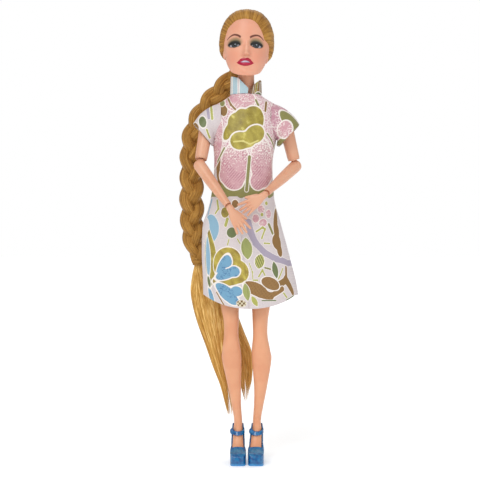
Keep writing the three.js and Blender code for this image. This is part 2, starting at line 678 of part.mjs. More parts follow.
// The plait's route from the nape, behind the shoulder and straight down the right side
const PLAIT_ROUTE = [
  [-5, 13.5, 261], [-11.5, 15.5, 254.5], [-18, 16.6, 247], [-25, 17.4, 238.6], [-31, 17, 229.4],
  [-35.2, 15.6, 218], [-36.6, 14.2, 204], [-36.6, 13, 186], [-36.4, 12.6, 168], [-35.8, 12.4, 154],
  [-34.2, 12.2, 143.6], [-32.4, 12, 136.4],
].map((p) => point(...p));
const PLAIT = { lobe: 14.2, sway: 3.9, weave: 2.3, strand: 4.4, strands: 3, sides: 5, steps: 25 };
const TIE = point(-31.9, 12, 132.6);
const TIE_BORE = 3.2;

// Thickness along the plait: slim at the nape, full below the shoulder, drawn in at the tie
const plaitFullness = (t) => Math.min(1, 0.72 + 2 * t) * (t < 0.84 ? 1 : 1 - 0.46 * ((t - 0.84) / 0.16) ** 1.4);

// A strand weaves left and right once while it crosses front to back twice
function strand(route, phase) {
  const turns = route.getLength() / (PLAIT.lobe * PLAIT.strands);
  const rings = Array.from({ length: PLAIT.steps + 1 }, (_, i) => {
    const t = i / PLAIT.steps;
    const along = route.getTangentAt(t);
    const sideways = Y.clone().cross(along).normalize();
    const outwards = along.clone().cross(sideways).normalize();
    const swing = 2 * Math.PI * (turns * t + phase);
    const full = plaitFullness(t);
    const middle = route.getPointAt(t)
      .addScaledVector(sideways, full * PLAIT.sway * Math.sin(swing))
      .addScaledVector(outwards, full * PLAIT.weave * Math.sin(2 * swing));
    return Array.from({ length: PLAIT.sides }, (_, k) => {
      const angle = (k / PLAIT.sides) * 2 * Math.PI;
      return middle.clone()
        .addScaledVector(sideways, full * PLAIT.strand * Math.cos(angle))
        .addScaledVector(outwards, full * 0.8 * PLAIT.strand * Math.sin(angle));
    });
  });
  return loft(rings);
}

function plait() {
  const route = new THREE.CatmullRomCurve3(PLAIT_ROUTE);
  const strands = Array.from({ length: PLAIT.strands }, (_, k) => strand(route, k / PLAIT.strands));
  const nape = solid(geometryOf(hairForm(GAP)).rotateY(HEAD_TILT * DEG).translate(...HEAD_PIVOT.toArray()));
  return cut(join(...strands), nape);
}

function hairTie() {
  return turned([[TIE_BORE, -1.7], [4.2, -1.4], [4.5, 0], [4.2, 1.4], [TIE_BORE, 1.7], [TIE_BORE, -1.7]], 12);
}

// Loose hair: two flat locks spread from the tie, one outside the right calf and one between the legs
const OUTER_LOCK = [
  [-31.9, 12, 135.6, 2.7, 2.6, 2.6],
  [-31.9, 12, 130.4, 2.7, 2.6, 2.6],
  [-31.4, 13.4, 124, 4.6, 3, 3],
  [-29.2, 15.2, 115, 7.6, 3, 3],
  [-26.2, 14.8, 104, 9, 2.8, 2.8],
  [-24.2, 13, 92, 7.6, 2.6, 2.6],
  [-22.6, 12, 80, 5.8, 2.4, 2.4],
  [-20.4, 11.4, 66, 4, 2.2, 2.2],
  [-17.4, 10.8, 51, 2.3, 1.8, 1.8],
  [-13.6, 10.4, 32, 0.7, 0.6, 0.6],
];
const INNER_LOCK = [
  [-31.6, 12.8, 128, 3, 2.4, 2.4],
  [-25.6, 14.8, 118, 5.4, 2.6, 2.6],
  [-15.4, 15, 109, 6.4, 2.4, 2.4],
  [-5.6, 13.6, 100, 6, 2.4, 2.4],
  [-0.9, 12.4, 88, 4.9, 2.4, 2.4],
  [0, 11.8, 74, 4.9, 2.2, 2.2],
  [0.6, 11.4, 58, 4.2, 2, 2],
  [0.9, 11, 43, 1.2, 0.8, 0.8],
];

function hair() {
  const group = new THREE.Group();
  group.add(mesh('hair_braid', plait(), HAIR));
  group.add(mesh('hair_tail', join(body(OUTER_LOCK, { sides: 10 }), body(INNER_LOCK, { sides: 8 })), HAIR));
  const tie = mesh('hair_tie', hairTie(), HAIR);
  tie.position.copy(TIE);
  group.add(tie);
  return group;
}

// DRESS

const WAIST = 175.6;
const NECKLINE = 243.6;
const BODICE_STATIONS = [
  [-2.3, 0, WAIST - 4, 21.4, 12.6, 10.8],
  [-2.3, 0, WAIST, 20.9, 12.2, 10.4],
  [-2, 0, 190, 19.4, 12.8, 10.4],
  [-1.6, 0, 203, 19.6, 16, 10.8],
  [-1, 0, 213, 20.6, 17.8, 11.2],
  [-0.4, 0, 224, 21.1, 15, 11.4],
  [0, 0, 233, 21, 11.4, 10.8],
  [0, 0, 237.2, 19.4, 9.4, 9.2],
  [0, 0, 240.6, 13.8, 9, 8.8],
  [0, 0, NECKLINE, 10, 8.8, 8.6],
  [0, 0, NECKLINE + 4, 8.6, 8.4, 8.2],
];
const SKIRT_STATIONS = [
  [-2.3, 0, WAIST + 4, 20.6, 12, 10.2],
  [-2.3, 0, WAIST, 20.9, 12.2, 10.4],
  [-2.3, 0, 166, 22.8, 13.2, 11.4],
  [-2.6, 0, 155, 25.4, 14.2, 12.6],
  [-1.7, 0, 143, 27.1, 14.8, 12.8],
  [0, 0, 127, 28.8, 15.4, 12.6],
  [2, 0, 110, 30.2, 16, 12.4],
  [3, 0, 95, 30.8, 16.4, 12.6],
];
const BODICE_SIDES = 18;
const HEM = { front: 103.2, rise: 8.6, flutes: 6, depth: 0.5 };
const SLIT = { half: 2.9, low: WAIST - 1, high: 250 };

// Soft flutes that deepen towards the hem
function fluted(p) {
  const fall = Math.max(0, (WAIST - p.z) / (WAIST - HEM.front));
  const angle = Math.atan2(p.y, p.x);
  const swell = 1 + (HEM.depth / 20) * fall * Math.cos(HEM.flutes * angle + 0.8);
  return point(p.x * swell, p.y * swell, p.z);
}

// The hem hangs lowest in front and rises to the side seams
function hemCut() {
  const edge = new THREE.Shape();
  edge.moveTo(-60, 60);
  edge.lineTo(-60, HEM.front + HEM.rise);
  edge.lineTo(-28, HEM.front + HEM.rise);
  edge.quadraticCurveTo(-14, HEM.front, 2, HEM.front);
  edge.quadraticCurveTo(20, HEM.front, 32.5, HEM.front + HEM.rise);
  edge.lineTo(60, HEM.front + HEM.rise);
  edge.lineTo(60, 60);
  return fromFront(edge, -40, 40);
}

const slitCut = () => block(point(2 * SLIT.half, 12, SLIT.high - SLIT.low), point(0, 12, (SLIT.low + SLIT.high) / 2));

function shell(stations, options) {
  return cut(body(stations, options), body(stations, { ...options, grow: -CLOTH }));
}

function bodice() {
  const cloth = shell(BODICE_STATIONS, { sides: BODICE_SIDES });
  const armhole = (side) => ball(7.2, point(side * 22, 0, 225.4), point(1, 1, 1.35), 12);
  return cut(
    cloth.intersect(between(WAIST + GAP / 2, NECKLINE)),
    armhole(-1), armhole(1), slitCut(),
  );
}

function skirt() {
  const cloth = shell(SKIRT_STATIONS, { sides: 24, shape: fluted });
  return cut(cloth.intersect(between(60, WAIST - GAP / 2)), hemCut());
}

// A cap sleeve: from the armhole it turns down to a slanting hem round the upper arm
function sleeve({ side }) {
  const stations = [
    [side * 12, 0, 226.6, 11.4, 9.6, 9.4, 0, side * -90],
    [side * 17.6, 0, 226, 11.6, 9.7, 9.4, 0, side * -88],
    [side * 21.8, 0, 224.8, 11.4, 9.8, 9.4, 0, side * -84],
    [side * 25.4, 0, 221.4, 10.8, 10.2, 9.2, 0, side * -62],
    [side * 28, 0, 217, 10.5, 10.6, 9.2, 0, side * -46],
    [side * 31, 0, 213.6, 10.4, 10.8, 9.2, 0, side * -45],
  ];
  const options = { sides: 12 };
  const ends = side < 0
    ? [[-13, 245], [-13, 210.4], [-22.6, 210.4], [-34.8, 224.6], [-34.8, 245]]
    : [[13, 245], [13, 210], [22.4, 210], [35, 223.4], [35, 245]];
  const hemmed = shell(stations, options).intersect(fromFront(outline(ends), -20, 20));
  return cut(hemmed, body(BODICE_STATIONS, { sides: BODICE_SIDES, grow: GAP }));
}

// The stand collar: a round band open in a wide V at the front and along the back
const COLLAR_STATIONS = [
  [0, 0, 240, 10.6, 9.4, 9],
  [0, 0, 250, 10.3, 9.2, 8.7],
  [0, 0, 260, 9.9, 9, 8.4],
];
const COLLAR_RIGHT = [
  [-0.4, 240], [1.2, NECKLINE + GAP], [1.5, 247.1], [-5, 253.9], [-9.7, 255.6], [-14, 255.6], [-14, 240],
];
const COLLAR_LEFT = [
  [2, 240], [2, NECKLINE + GAP], [2.4, 244.6], [5.3, 249.8], [9.1, 253], [14, 253], [14, 240],
];

function collar(edge) {
  const band = shell(COLLAR_STATIONS, { sides: 18 });
  const above = between(NECKLINE + GAP, 262);
  return cut(band.intersect(above).intersect(fromFront(outline(edge), -20, 20)), slitCut());
}

// The back closure: a loop strip lies inside, against a hook strip outside, in the dress's back slit
function closureStrip(stations, inset, low, high) {
  const thick = 0.32;
  const outer = body(stations, { sides: BODICE_SIDES, grow: -inset });
  const inner = body(stations, { sides: BODICE_SIDES, grow: -inset - thick });
  const column = block(point(2 * (SLIT.half - GAP), 14, high - low), point(0, 10, (low + high) / 2));
  return cut(outer, inner).intersect(column);
}

function dress() {
  const group = new THREE.Group();
  group.add(mesh('dress_bodice', bodice(), BROCADE));
  group.add(mesh('dress_skirt', skirt(), BROCADE));
  group.add(mesh('dress_right_sleeve', sleeve(ARMS.right), BROCADE));
  group.add(mesh('dress_left_sleeve', sleeve(ARMS.left), BROCADE));
  group.add(mesh('dress_right_collar', collar(COLLAR_RIGHT), BROCADE));
  group.add(mesh('dress_left_collar', collar(COLLAR_LEFT), BROCADE));
  group.add(mesh('dress_hook_strip', closureStrip(BODICE_STATIONS, 0, WAIST + 1, NECKLINE - 1), STRIP));
  group.add(mesh('dress_loop_strip', closureStrip(BODICE_STATIONS, 0.62, WAIST + 1, NECKLINE - 1), STRIP));
  return group;
}

const figure = new THREE.Group();
figure.add(head(), torso(), arm('right'), arm('left'), leg('right'), leg('left'), hair(), dress());

// The stored frame stands at the middle of the whole figure's footprint
const box = new THREE.Box3().setFromObject(figure);
figure.position.set(-(box.min.x + box.max.x) / 2, -(box.min.y + box.max.y) / 2, -box.min.z);

const doll = new THREE.Group();
doll.add(figure);

export default doll;
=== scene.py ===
"""Looks of a 30 cm fashion doll: soft vinyl skin, painted face, combed hair with a long plait,
a dress of flowered brocade and translucent blue shoes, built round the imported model.

Sizes are millimetres in the figure's own frame: the floor is z = 0, the doll faces -Y, and x = 0 is the
middle of its torso. The plait, dress, arms and legs repeat the routes and sizes of the solids.
"""

import json
import math
import random

import bmesh
import bpy
import numpy as np
from mathutils import Matrix, Vector, noise
from mathutils.bvhtree import BVHTree


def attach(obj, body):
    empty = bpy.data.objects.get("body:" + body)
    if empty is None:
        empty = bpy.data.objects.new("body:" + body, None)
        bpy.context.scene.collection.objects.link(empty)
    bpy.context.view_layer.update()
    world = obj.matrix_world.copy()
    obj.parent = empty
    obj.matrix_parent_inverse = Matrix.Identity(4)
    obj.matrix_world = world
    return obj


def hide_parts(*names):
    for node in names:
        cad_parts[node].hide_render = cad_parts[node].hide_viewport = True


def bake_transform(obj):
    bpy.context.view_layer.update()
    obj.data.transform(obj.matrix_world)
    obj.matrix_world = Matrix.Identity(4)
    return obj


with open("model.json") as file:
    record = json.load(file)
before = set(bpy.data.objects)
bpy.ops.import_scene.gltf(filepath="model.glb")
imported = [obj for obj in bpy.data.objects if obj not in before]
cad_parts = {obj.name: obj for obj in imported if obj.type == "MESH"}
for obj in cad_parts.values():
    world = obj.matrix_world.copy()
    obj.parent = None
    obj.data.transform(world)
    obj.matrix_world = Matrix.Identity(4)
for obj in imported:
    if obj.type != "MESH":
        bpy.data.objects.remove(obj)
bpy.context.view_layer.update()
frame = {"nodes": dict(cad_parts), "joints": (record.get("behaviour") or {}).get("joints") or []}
MM = 0.001
JOINTS = {joint["name"]: joint for joint in frame["joints"]}
HEAD_HEIGHT = 266  # height of the neck pivot
# The figure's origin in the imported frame, straight below the neck pivot
FIGURE = np.array(JOINTS["head_turn"]["pos_m"]) - (0, 0, HEAD_HEIGHT * MM)

rng = random.Random(7)

# Camera: level, in front of the chest, at the distance that gives the photograph's mild perspective

VIEW_CENTRE = (-3.97, 147.8)  # x and height that the middle of the picture shows
VIEW_DISTANCE = 700
VIEW_SPAN = 317.8  # width of the doll's plane that the picture takes in


def in_frame(point):
    """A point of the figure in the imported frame's metres"""
    return Vector(FIGURE + MM * np.array(point, float))


def add_camera():
    data = bpy.data.cameras.new("camera")
    data.angle = 2 * math.atan(VIEW_SPAN / 2 / VIEW_DISTANCE)
    data.clip_start, data.clip_end = 0.01, 20
    camera = bpy.data.objects.new("camera", data)
    camera.location = in_frame((VIEW_CENTRE[0], -VIEW_DISTANCE, VIEW_CENTRE[1]))
    camera.rotation_euler = (math.pi / 2, 0, 0)
    bpy.context.scene.collection.objects.link(camera)
    bpy.context.scene.camera = camera


add_camera()

# Finishes


class Wire:
    """One value on its way through a material; arithmetic on it adds its Math nodes"""

    def __init__(self, paint, socket):
        self.paint = paint
        self.socket = socket

    def math(self, operation, *others, clamp=False):
        values = dict(enumerate((self, *others)))
        return self.paint.node("Math", {"operation": operation, "use_clamp": clamp}, values)

    def __add__(self, other):
        return self.math("ADD", other)

    def __mul__(self, other):
        return self.math("MULTIPLY", other)

    def __sub__(self, other):
        return self.math("SUBTRACT", other)

    def __truediv__(self, other):
        return self.math("DIVIDE", other)

    def __pow__(self, other):
        return self.math("POWER", other)

    def __rsub__(self, other):
        return self.paint.node("Math", {"operation": "SUBTRACT"}, {0: other, 1: self})

    __radd__ = __add__
    __rmul__ = __mul__

    def __abs__(self):
        return self.math("ABSOLUTE")

    def least(self, other):
        return self.math("MINIMUM", other)

    def most(self, other):
        return self.math("MAXIMUM", other)

    def sine(self):
        return self.math("SINE")

    def root(self):
        return self.math("SQRT")

    def step(self, low, high):
        """0 below low and 1 above high, with a soft step between; low may be the larger"""
        settings = {"interpolation_type": "SMOOTHSTEP"}
        if low < high:
            return self.paint.node("MapRange", settings, {"Value": self, "From Min": low, "From Max": high})
        return 1 - self.step(high, low)


class Paint:
    """A material in the making: its Principled shader, and the nodes that feed it"""

    def __init__(self, name, **constants):
        self.material = bpy.data.materials.new(name)
        self.material.use_nodes = True
        self.tree = self.material.node_tree
        self.shader = self.tree.nodes["Principled BSDF"]
        for socket, value in constants.items():
            self.shader.inputs[socket.replace("_", " ").title().replace("Ior", "IOR")].default_value = value

    def node(self, kind, settings=(), sockets=(), out=0):
        node = self.tree.nodes.new("ShaderNode" + kind)
        for key, value in dict(settings).items():
            if key == "stops":
                self.fill_ramp(node.color_ramp, value)
            else:
                setattr(node, key, value)
        for key, value in dict(sockets).items():
            self.feed(node.inputs[key], value)
        return Wire(self, node.outputs[out])

    def fill_ramp(self, ramp, stops):
        while len(ramp.elements) > 1:
            ramp.elements.remove(ramp.elements[-1])
        for at, colour in stops:
            element = ramp.elements[0] if at == stops[0][0] else ramp.elements.new(at)
            element.position = at
            element.color = rgba(colour)

    def feed(self, socket, value):
        if isinstance(value, Wire):
            self.tree.links.new(value.socket, socket)
        else:
            socket.default_value = value

    def set(self, **wires):
        for socket, value in wires.items():
            self.feed(self.shader.inputs[socket.replace("_", " ").title()], value)

    def mix(self, factor, first, second):
        """first where factor is 0, second where it is 1, as colours"""
        node = self.tree.nodes.new("ShaderNodeMix")
        node.data_type = "RGBA"
        for key, value in (("Factor_Float", factor), ("A_Color", first), ("B_Color", second)):
            socket = next(s for s in node.inputs if s.identifier == key)
            self.feed(socket, rgba(value) if isinstance(value, str) else value)
        return Wire(self, next(s for s in node.outputs if s.identifier == "Result_Color"))

    def attribute(self, name):
        """The three parts of a vector that the mesh carries at each of its points"""
        vector = self.node("Attribute", {"attribute_name": name}, out="Vector")
        return [self.node("SeparateXYZ", sockets={0: vector}, out=k) for k in range(3)]

    def vector(self, x, y, z):
        return self.node("CombineXYZ", sockets={0: x, 1: y, 2: z})

    def noise(self, at, scale, detail=2.0, roughness=0.5):
        sockets = {"Vector": at, "Scale": scale, "Detail": detail, "Roughness": roughness}
        return self.node("TexNoise", sockets=sockets)

    def bump(self, height, strength, depth):
        return self.node("Bump", sockets={"Strength": strength, "Distance": depth, "Height": height})


def rgba(code):
    """A colour written as #rrggbb, in linear light"""
    parts = [int(code[i:i + 2], 16) / 255 for i in (1, 3, 5)]
    return (*[c / 12.92 if c <= 0.04045 else ((c + 0.055) / 1.055) ** 2.4 for c in parts], 1)


# Shapes


def smooth(stations, per_span):
    """Rows of [x, y, z, half width, front depth, back depth, pitch, roll] on a smooth curve through
    stations of the same numbers, where pitch and roll may be left out"""
    rows = np.array([[*row, 0, 0][:8] for row in stations], float)
    ends = np.vstack([rows[1], rows, rows[-2]])
    out = []
    for before, first, second, after in zip(ends, ends[1:], ends[2:], ends[3:]):
        for t in np.arange(per_span) / per_span:
            out.append(0.5 * (
                2 * first + (second - before) * t
                + (2 * before - 5 * first + 4 * second - after) * t ** 2
                + (3 * first - 3 * second + after - before) * t ** 3
            ))
    return np.array([*out, rows[-1]])


def ring(row, sides, grow=0.0, bunch=0.0):
    """One oval ring with its own front and back depth; bunch draws its points towards the front"""
    x, y, z, wide, front, back, pitch, roll = row
    even = np.arange(sides) * 2 * math.pi / sides
    angle = even - bunch * np.cos(even)
    depth = np.where(np.sin(angle) < 0, front, back) + grow
    flat = np.stack([(wide + grow) * np.cos(angle), depth * np.sin(angle), 0 * angle], 1)
    turn = Matrix.Rotation(math.radians(pitch), 3, "X") @ Matrix.Rotation(math.radians(roll), 3, "Y")
    return flat @ np.array(turn).T + (x, y, z)


def rings(stations, per_span, sides, grow=0.0, bunch=0.0):
    return np.array([ring(row, sides, grow, bunch) for row in smooth(stations, per_span)])


def grid_faces(rows, sides, wrap=True, start=0):
    last = sides if wrap else sides - 1
    return [
        (start + r * sides + i, start + r * sides + (i + 1) % sides,
         start + (r + 1) * sides + (i + 1) % sides, start + (r + 1) * sides + i)
        for r in range(rows - 1) for i in range(last)
    ]


def closed_skin(grid, start=0):
    """Points and faces of a tube through the rows of a grid, with a fan over each end"""
    rows, sides = grid.shape[:2]
    points = [*grid.reshape(-1, 3), grid[0].mean(0), grid[-1].mean(0)]
    tip = start + rows * sides
    last = start + (rows - 1) * sides
    faces = grid_faces(rows, sides, start=start)
    faces += [(tip, start + (i + 1) % sides, start + i) for i in range(sides)]
    faces += [(tip + 1, last + i, last + (i + 1) % sides) for i in range(sides)]
    return points, faces


def double_skin(outer, inner, wrap=True, start=0):
    """Points and faces of a sheet with thickness: two grids closed along their edges"""
    rows, sides = outer.shape[:2]
    count = rows * sides
    points = [*outer.reshape(-1, 3), *inner.reshape(-1, 3)]
    top = grid_faces(rows, sides, wrap, start)
    faces = top + [tuple(count + i for i in reversed(face)) for face in top]
    span = sides if wrap else sides - 1
    for row in (0, rows - 1):
        for i in range(span):
            a, b = start + row * sides + i, start + row * sides + (i + 1) % sides
            faces.append((b, a, a + count, b + count) if row == 0 else (a, b, b + count, a + count))
    if not wrap:
        for column in (0, sides - 1):
            for row in range(rows - 1):
                a, b = start + row * sides + column, start + (row + 1) * sides + column
                faces.append((a, b, b + count, a + count) if column == 0 else (b, a, a + count, b + count))
    return points, faces


def several(parts):
    """Many (points, faces) pairs as one"""
    points, faces = [], []
    for more_points, more_faces in parts:
        base = len(points)
        points += list(more_points)
        faces += [tuple(base + i for i in face) for face in more_faces]
    return points, faces


def new_piece(name, points, faces, paint, places=None):
    """A smooth-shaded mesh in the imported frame, which carries its own millimetre places for its paint"""
    points = np.array(points, float)
    mesh = bpy.data.meshes.new(name)
    mesh.from_pydata((FIGURE + MM * points).tolist(), [], faces)
    mesh.polygons.foreach_set("use_smooth", [True] * len(mesh.polygons))
    piece = bpy.data.objects.new(name, mesh)
    bpy.context.scene.collection.objects.link(piece)
    mesh.materials.append(paint.material)
    mark_places(piece, places)
    return piece


def keep_on_points(mesh, name, vectors):
    """Stores one vector with each point of a mesh, in place of any that it has under that name"""
    if name in mesh.attributes:
        mesh.attributes.remove(mesh.attributes[name])
    layer = mesh.attributes.new(name, "FLOAT_VECTOR", "POINT")
    layer.data.foreach_set("vector", np.ravel(vectors).astype(np.float32))


def mark_places(piece, places=None):
    """Keeps each point's resting place, so that the paint stays on the surface when the piece bends"""
    mesh = piece.data
    if places is None:
        flat = np.empty(3 * len(mesh.vertices))
        mesh.vertices.foreach_get("co", flat)
        places = (flat.reshape(-1, 3) - FIGURE) / MM
    keep_on_points(mesh, "place", places)


def apply_modifier(piece, kind, **settings):
    modifier = piece.modifiers.new(kind.lower(), kind)
    for key, value in settings.items():
        setattr(modifier, key, value)
    bpy.context.view_layer.update()
    evaluated = piece.evaluated_get(bpy.context.evaluated_depsgraph_get())
    mesh = bpy.data.meshes.new_from_object(evaluated)
    piece.modifiers.clear()
    piece.data = mesh
    mesh.polygons.foreach_set("use_smooth", [True] * len(mesh.polygons))
    return piece


def carve(piece, operation, *tools):
    """Cuts tools from a piece, joins them to it, or keeps what lies inside them"""
    for tool in tools:
        apply_modifier(piece, "BOOLEAN", object=tool, operation=operation, solver="EXACT")
        bpy.data.objects.remove(tool)
    return piece


def ellipsoid(centre, radii, sides=48, rows=32):
    """A ball's rings, with its poles up and down"""
    theta = np.linspace(1e-3, math.pi - 1e-3, rows)
    phi = np.arange(sides) * 2 * math.pi / sides
    grid = np.stack([
        np.outer(np.sin(theta), np.cos(phi)),
        np.outer(np.sin(theta), np.sin(phi)),
        np.outer(np.cos(theta), np.ones(sides)),
    ], 2)
    return grid * radii + centre


def unit(vector):
    return vector / np.linalg.norm(vector)


def tube_rings(path, radii, sides, up=(0, 1, 0), flat=1.0):
    """Rings round a path of points; flat squeezes them along up"""
    path = np.array(path, float)
    tangents = np.gradient(path, axis=0)
    angle = np.arange(sides) * 2 * math.pi / sides
    grid = []
    for point, along, radius in zip(path, tangents, radii):
        side = unit(np.cross(along, up))
        out = unit(np.cross(side, along))
        grid.append(point + radius * (np.outer(np.cos(angle), side) + flat * np.outer(np.sin(angle), out)))
    return np.array(grid)


def spline(points, count):
    """A smooth curve through points, at count even steps of its length"""
    rows = [[*p, 0, 0, 0, 0, 0] for p in points]
    fine = smooth(rows, 24)[:, :3]
    reach = np.concatenate([[0], np.cumsum(np.linalg.norm(np.diff(fine, axis=0), axis=1))])
    at = np.linspace(0, reach[-1], count)
    return np.stack([np.interp(at, reach, fine[:, k]) for k in range(3)], 1)


def limb_matrix(at, runs, hinge):
    """A frame at a joint whose -Z runs along the limb, with X along its hinge"""
    up = -unit(np.array(runs, float))
    across = unit(hinge - up * np.dot(hinge, up))
    return np.array([across, np.cross(up, across), up]).T, np.array(at, float)


def moved(grid, matrix_and_place):
    matrix, place = matrix_and_place
    return grid @ matrix.T + place


# Skin


def skin_paint(name, colour, flush):
    """Soft vinyl: faint mottling, a warmer flush, and a satin surface with a fine grain"""
    paint = Paint(name, roughness=0.38, subsurface_weight=0.12, subsurface_scale=0.002, ior=1.46)
    paint.shader.inputs["Subsurface Radius"].default_value = (1.0, 0.45, 0.3)
    x, y, z = paint.attribute("place")
    place = paint.vector(x, y, z)
    mottle = paint.noise(place, 0.09, 3).step(0.35, 0.7)
    paint.set(
        base_color=paint.mix(mottle * 0.5, colour, flush),
        normal=paint.bump(paint.noise(place, 2.2, 2), 0.05, 0.0002),
    )
    return paint


SKIN = "#e0a27c"
FLUSH = "#d58f6a"
soft_skin = skin_paint("soft_vinyl_skin", SKIN, FLUSH)
hard_skin = skin_paint("hard_plastic_skin", "#dba687", "#d49473")


def plain_node_paint(name, colour, roughness, metallic=0.0):
    """A moulded or drawn part inside the doll, with a slightly uneven surface"""
    paint = Paint(name, roughness=roughness, metallic=metallic)
    place = paint.node("TexCoord", out="Object")
    grain = paint.noise(place, 900.0, 2)
    paint.set(
        base_color=paint.mix(grain.step(0.2, 0.8) * 0.25, colour, "#c9b8a4" if metallic == 0 else "#8d9094"),
        normal=paint.bump(grain, 0.08, 0.0001),
    )
    return paint


peg_paint = plain_node_paint("moulded_peg", "#ead9c6", 0.42)
wire_paint = plain_node_paint("steel_wire", "#b9bcc0", 0.28, 1.0)
tape_paint = plain_node_paint("hook_and_loop_tape", "#f2f0ec", 0.9)

# Head, in millimetres from the neck pivot before the head's tilt. Here and below, a station of a form is
# x, y, z, half width, front depth and back depth, with a pitch and a roll in degrees where it has them.

HEAD_TILT = 2.2
HEAD_STATIONS = [
    (0, -5, -5.8, 3, 3, 3, 24),
    (0, -5.2, -6.4, 6.4, 6.6, 6.6, 25),
    (0, -5.5, -7.4, 9.5, 9.8, 9.8, 25),
    (0, -4, -5.2, 11.2, 11.9, 11.9, 21),
    (0, -1.5, -1.5, 12.9, 14.4, 14.4, 12),
    (0, -0.3, 2, 13.9, 15.8, 15.8, 5),
    (0, 0.6, 6, 14.8, 16.8, 16.8),
    (0, 1.4, 12, 15.2, 17.4, 17.4),
    (0, 1.6, 20, 14.6, 16.8, 16.8),
    (0, 1.5, 26.6, 12.3, 14.1, 14.1),
    (0, 1.6, 30.4, 7.9, 9.6, 9.6),
    (0, 1.7, 31.8, 2, 3.1, 3.1),
]
HAIR_STATIONS = [
    (0, 8.4, -5.4, 3.4, 4.8, 4.8),
    (0, 7, -3.2, 8, 9.4, 9.4),
    (0, 5.4, 0, 12.8, 14, 14),
    (0, 4.2, 3, 16.2, 16.4, 16.4),
    (0, 3.6, 7, 17.8, 17.9, 17.9),
    (0, 3.2, 13, 18.3, 19.6, 19.6),
    (0, 2.6, 21, 17.2, 19.4, 19.4),
    (0, 1.8, 28.2, 13.6, 16.2, 16.2),
    (0, 1.7, 32.6, 8.2, 10.7, 10.7),
    (0, 1.8, 33.4, 1.8, 2.8, 2.8),
]

# Each feature of the moulded face: x, z, width, height, how far it stands out, and whether it is a pair
FACE = {
    "nose tip": (0, 2.7, 1.7, 1.6, 2.9, False),
    "nose bridge": (0, 6.4, 1.5, 3.2, 1.5, False),
    "nostrils": (1.7, 2.1, 1.1, 1, 0.9, True),
    "eye socket": (6.4, 8.2, 3.8, 2.4, -1.5, True),
    "eyeball": (6.8, 7.7, 2.7, 1.7, 0.8, True),
    "upper lip": (0, -1.6, 3.6, 0.8, 0.9, False),
    "lower lip": (0, -4.2, 3, 0.9, 1, False),
    "under lip": (0, -6.4, 3.2, 1, -0.4, False),
    "chin": (0, -8.8, 3.4, 1.8, 0.9, False),
    "cheek": (8.2, 1.4, 3.4, 3.6, 0.6, True),
}


def sculpted(grid):
    """The head's rings with the face's features pushed out of the front"""
    x, y, z = grid[..., 0], grid[..., 1], grid[..., 2]
    push = np.zeros_like(x)
    for at, up, wide, tall, out, pair in FACE.values():
        across = (np.abs(x) if pair else x) - at
        push += out * np.exp(-(across / wide) ** 2 - ((z - up) / tall) ** 2)
    return np.stack([x, np.where(y > 0, y, y - push), z], -1)


def on_head(points):
    """From the head's own millimetres to the figure's"""
    turn = np.array(Matrix.Rotation(math.radians(HEAD_TILT), 3, "Y"))
    return np.array(points, float) @ turn.T + (0, 0, HEAD_HEIGHT)


class Face:
    """The front of the head as a drawing board, in its own millimetres across and up"""

    def __init__(self, paint):
        self.x, self.y, self.z = paint.attribute("place")

    def along(self, start, end):
        """Share of the way from start to end, and the distance to the side of that line"""
        (ax, az), (bx, bz) = start, end
        length = math.hypot(bx - ax, bz - az)
        ux, uz = (bx - ax) / length, (bz - az) / length
        share = ((self.x - ax) * ux + (self.z - az) * uz) / length
        return share, (self.z - az) * ux - (self.x - ax) * uz

    def oval(self, cx, cz, wide, tall, soft=0.12, tilt=0.0):
        """1 inside an oval; soft is the share of its size over which the edge fades"""
        c, s = math.cos(tilt), math.sin(tilt)
        across = ((self.x - cx) * c + (self.z - cz) * s) / wide
        up = ((self.z - cz) * c - (self.x - cx) * s) / tall
        return (across * across + up * up).root().step(1 + soft, 1 - soft)


def skin_coats(face):
    """Rosy cheeks, and on the nose painted shade along its sides, a painted highlight along its ridge and a
    painted shadow under its tip
    """
    cheeks = [(face.oval(middle, 0.5, 4.6, 3.6, 0.9) * 0.4, "#dd8a70") for middle in (-8.6, 7.2)]
    return cheeks + [
        # painted shade on the nose's two sides, then a painted highlight on its ridge and a painted shadow
        # under its tip
        (face.oval(-0.9, 3.2, 2.1, 4.4, 0.7) * 0.22, "#c47d62"),
        (face.oval(1.4, 3.4, 1.9, 4.2, 0.7) * 0.22, "#c47d62"),
        (face.oval(0.1, 3.3, 1.1, 4.4, 0.6) * 0.5, "#f4bd9f"),
        (face.oval(-0.1, 1.0, 2.9, 0.7, 0.9) * 0.4, "#b56c50"),
    ]


# Each eye: its side, the middle of its lids, how far it looks aside, and the tilt of its lids
EYES = ((-1, -8.0, 8.5, 0.2, 0.06), (1, 6.5, 8.5, -0.4, -0.1))


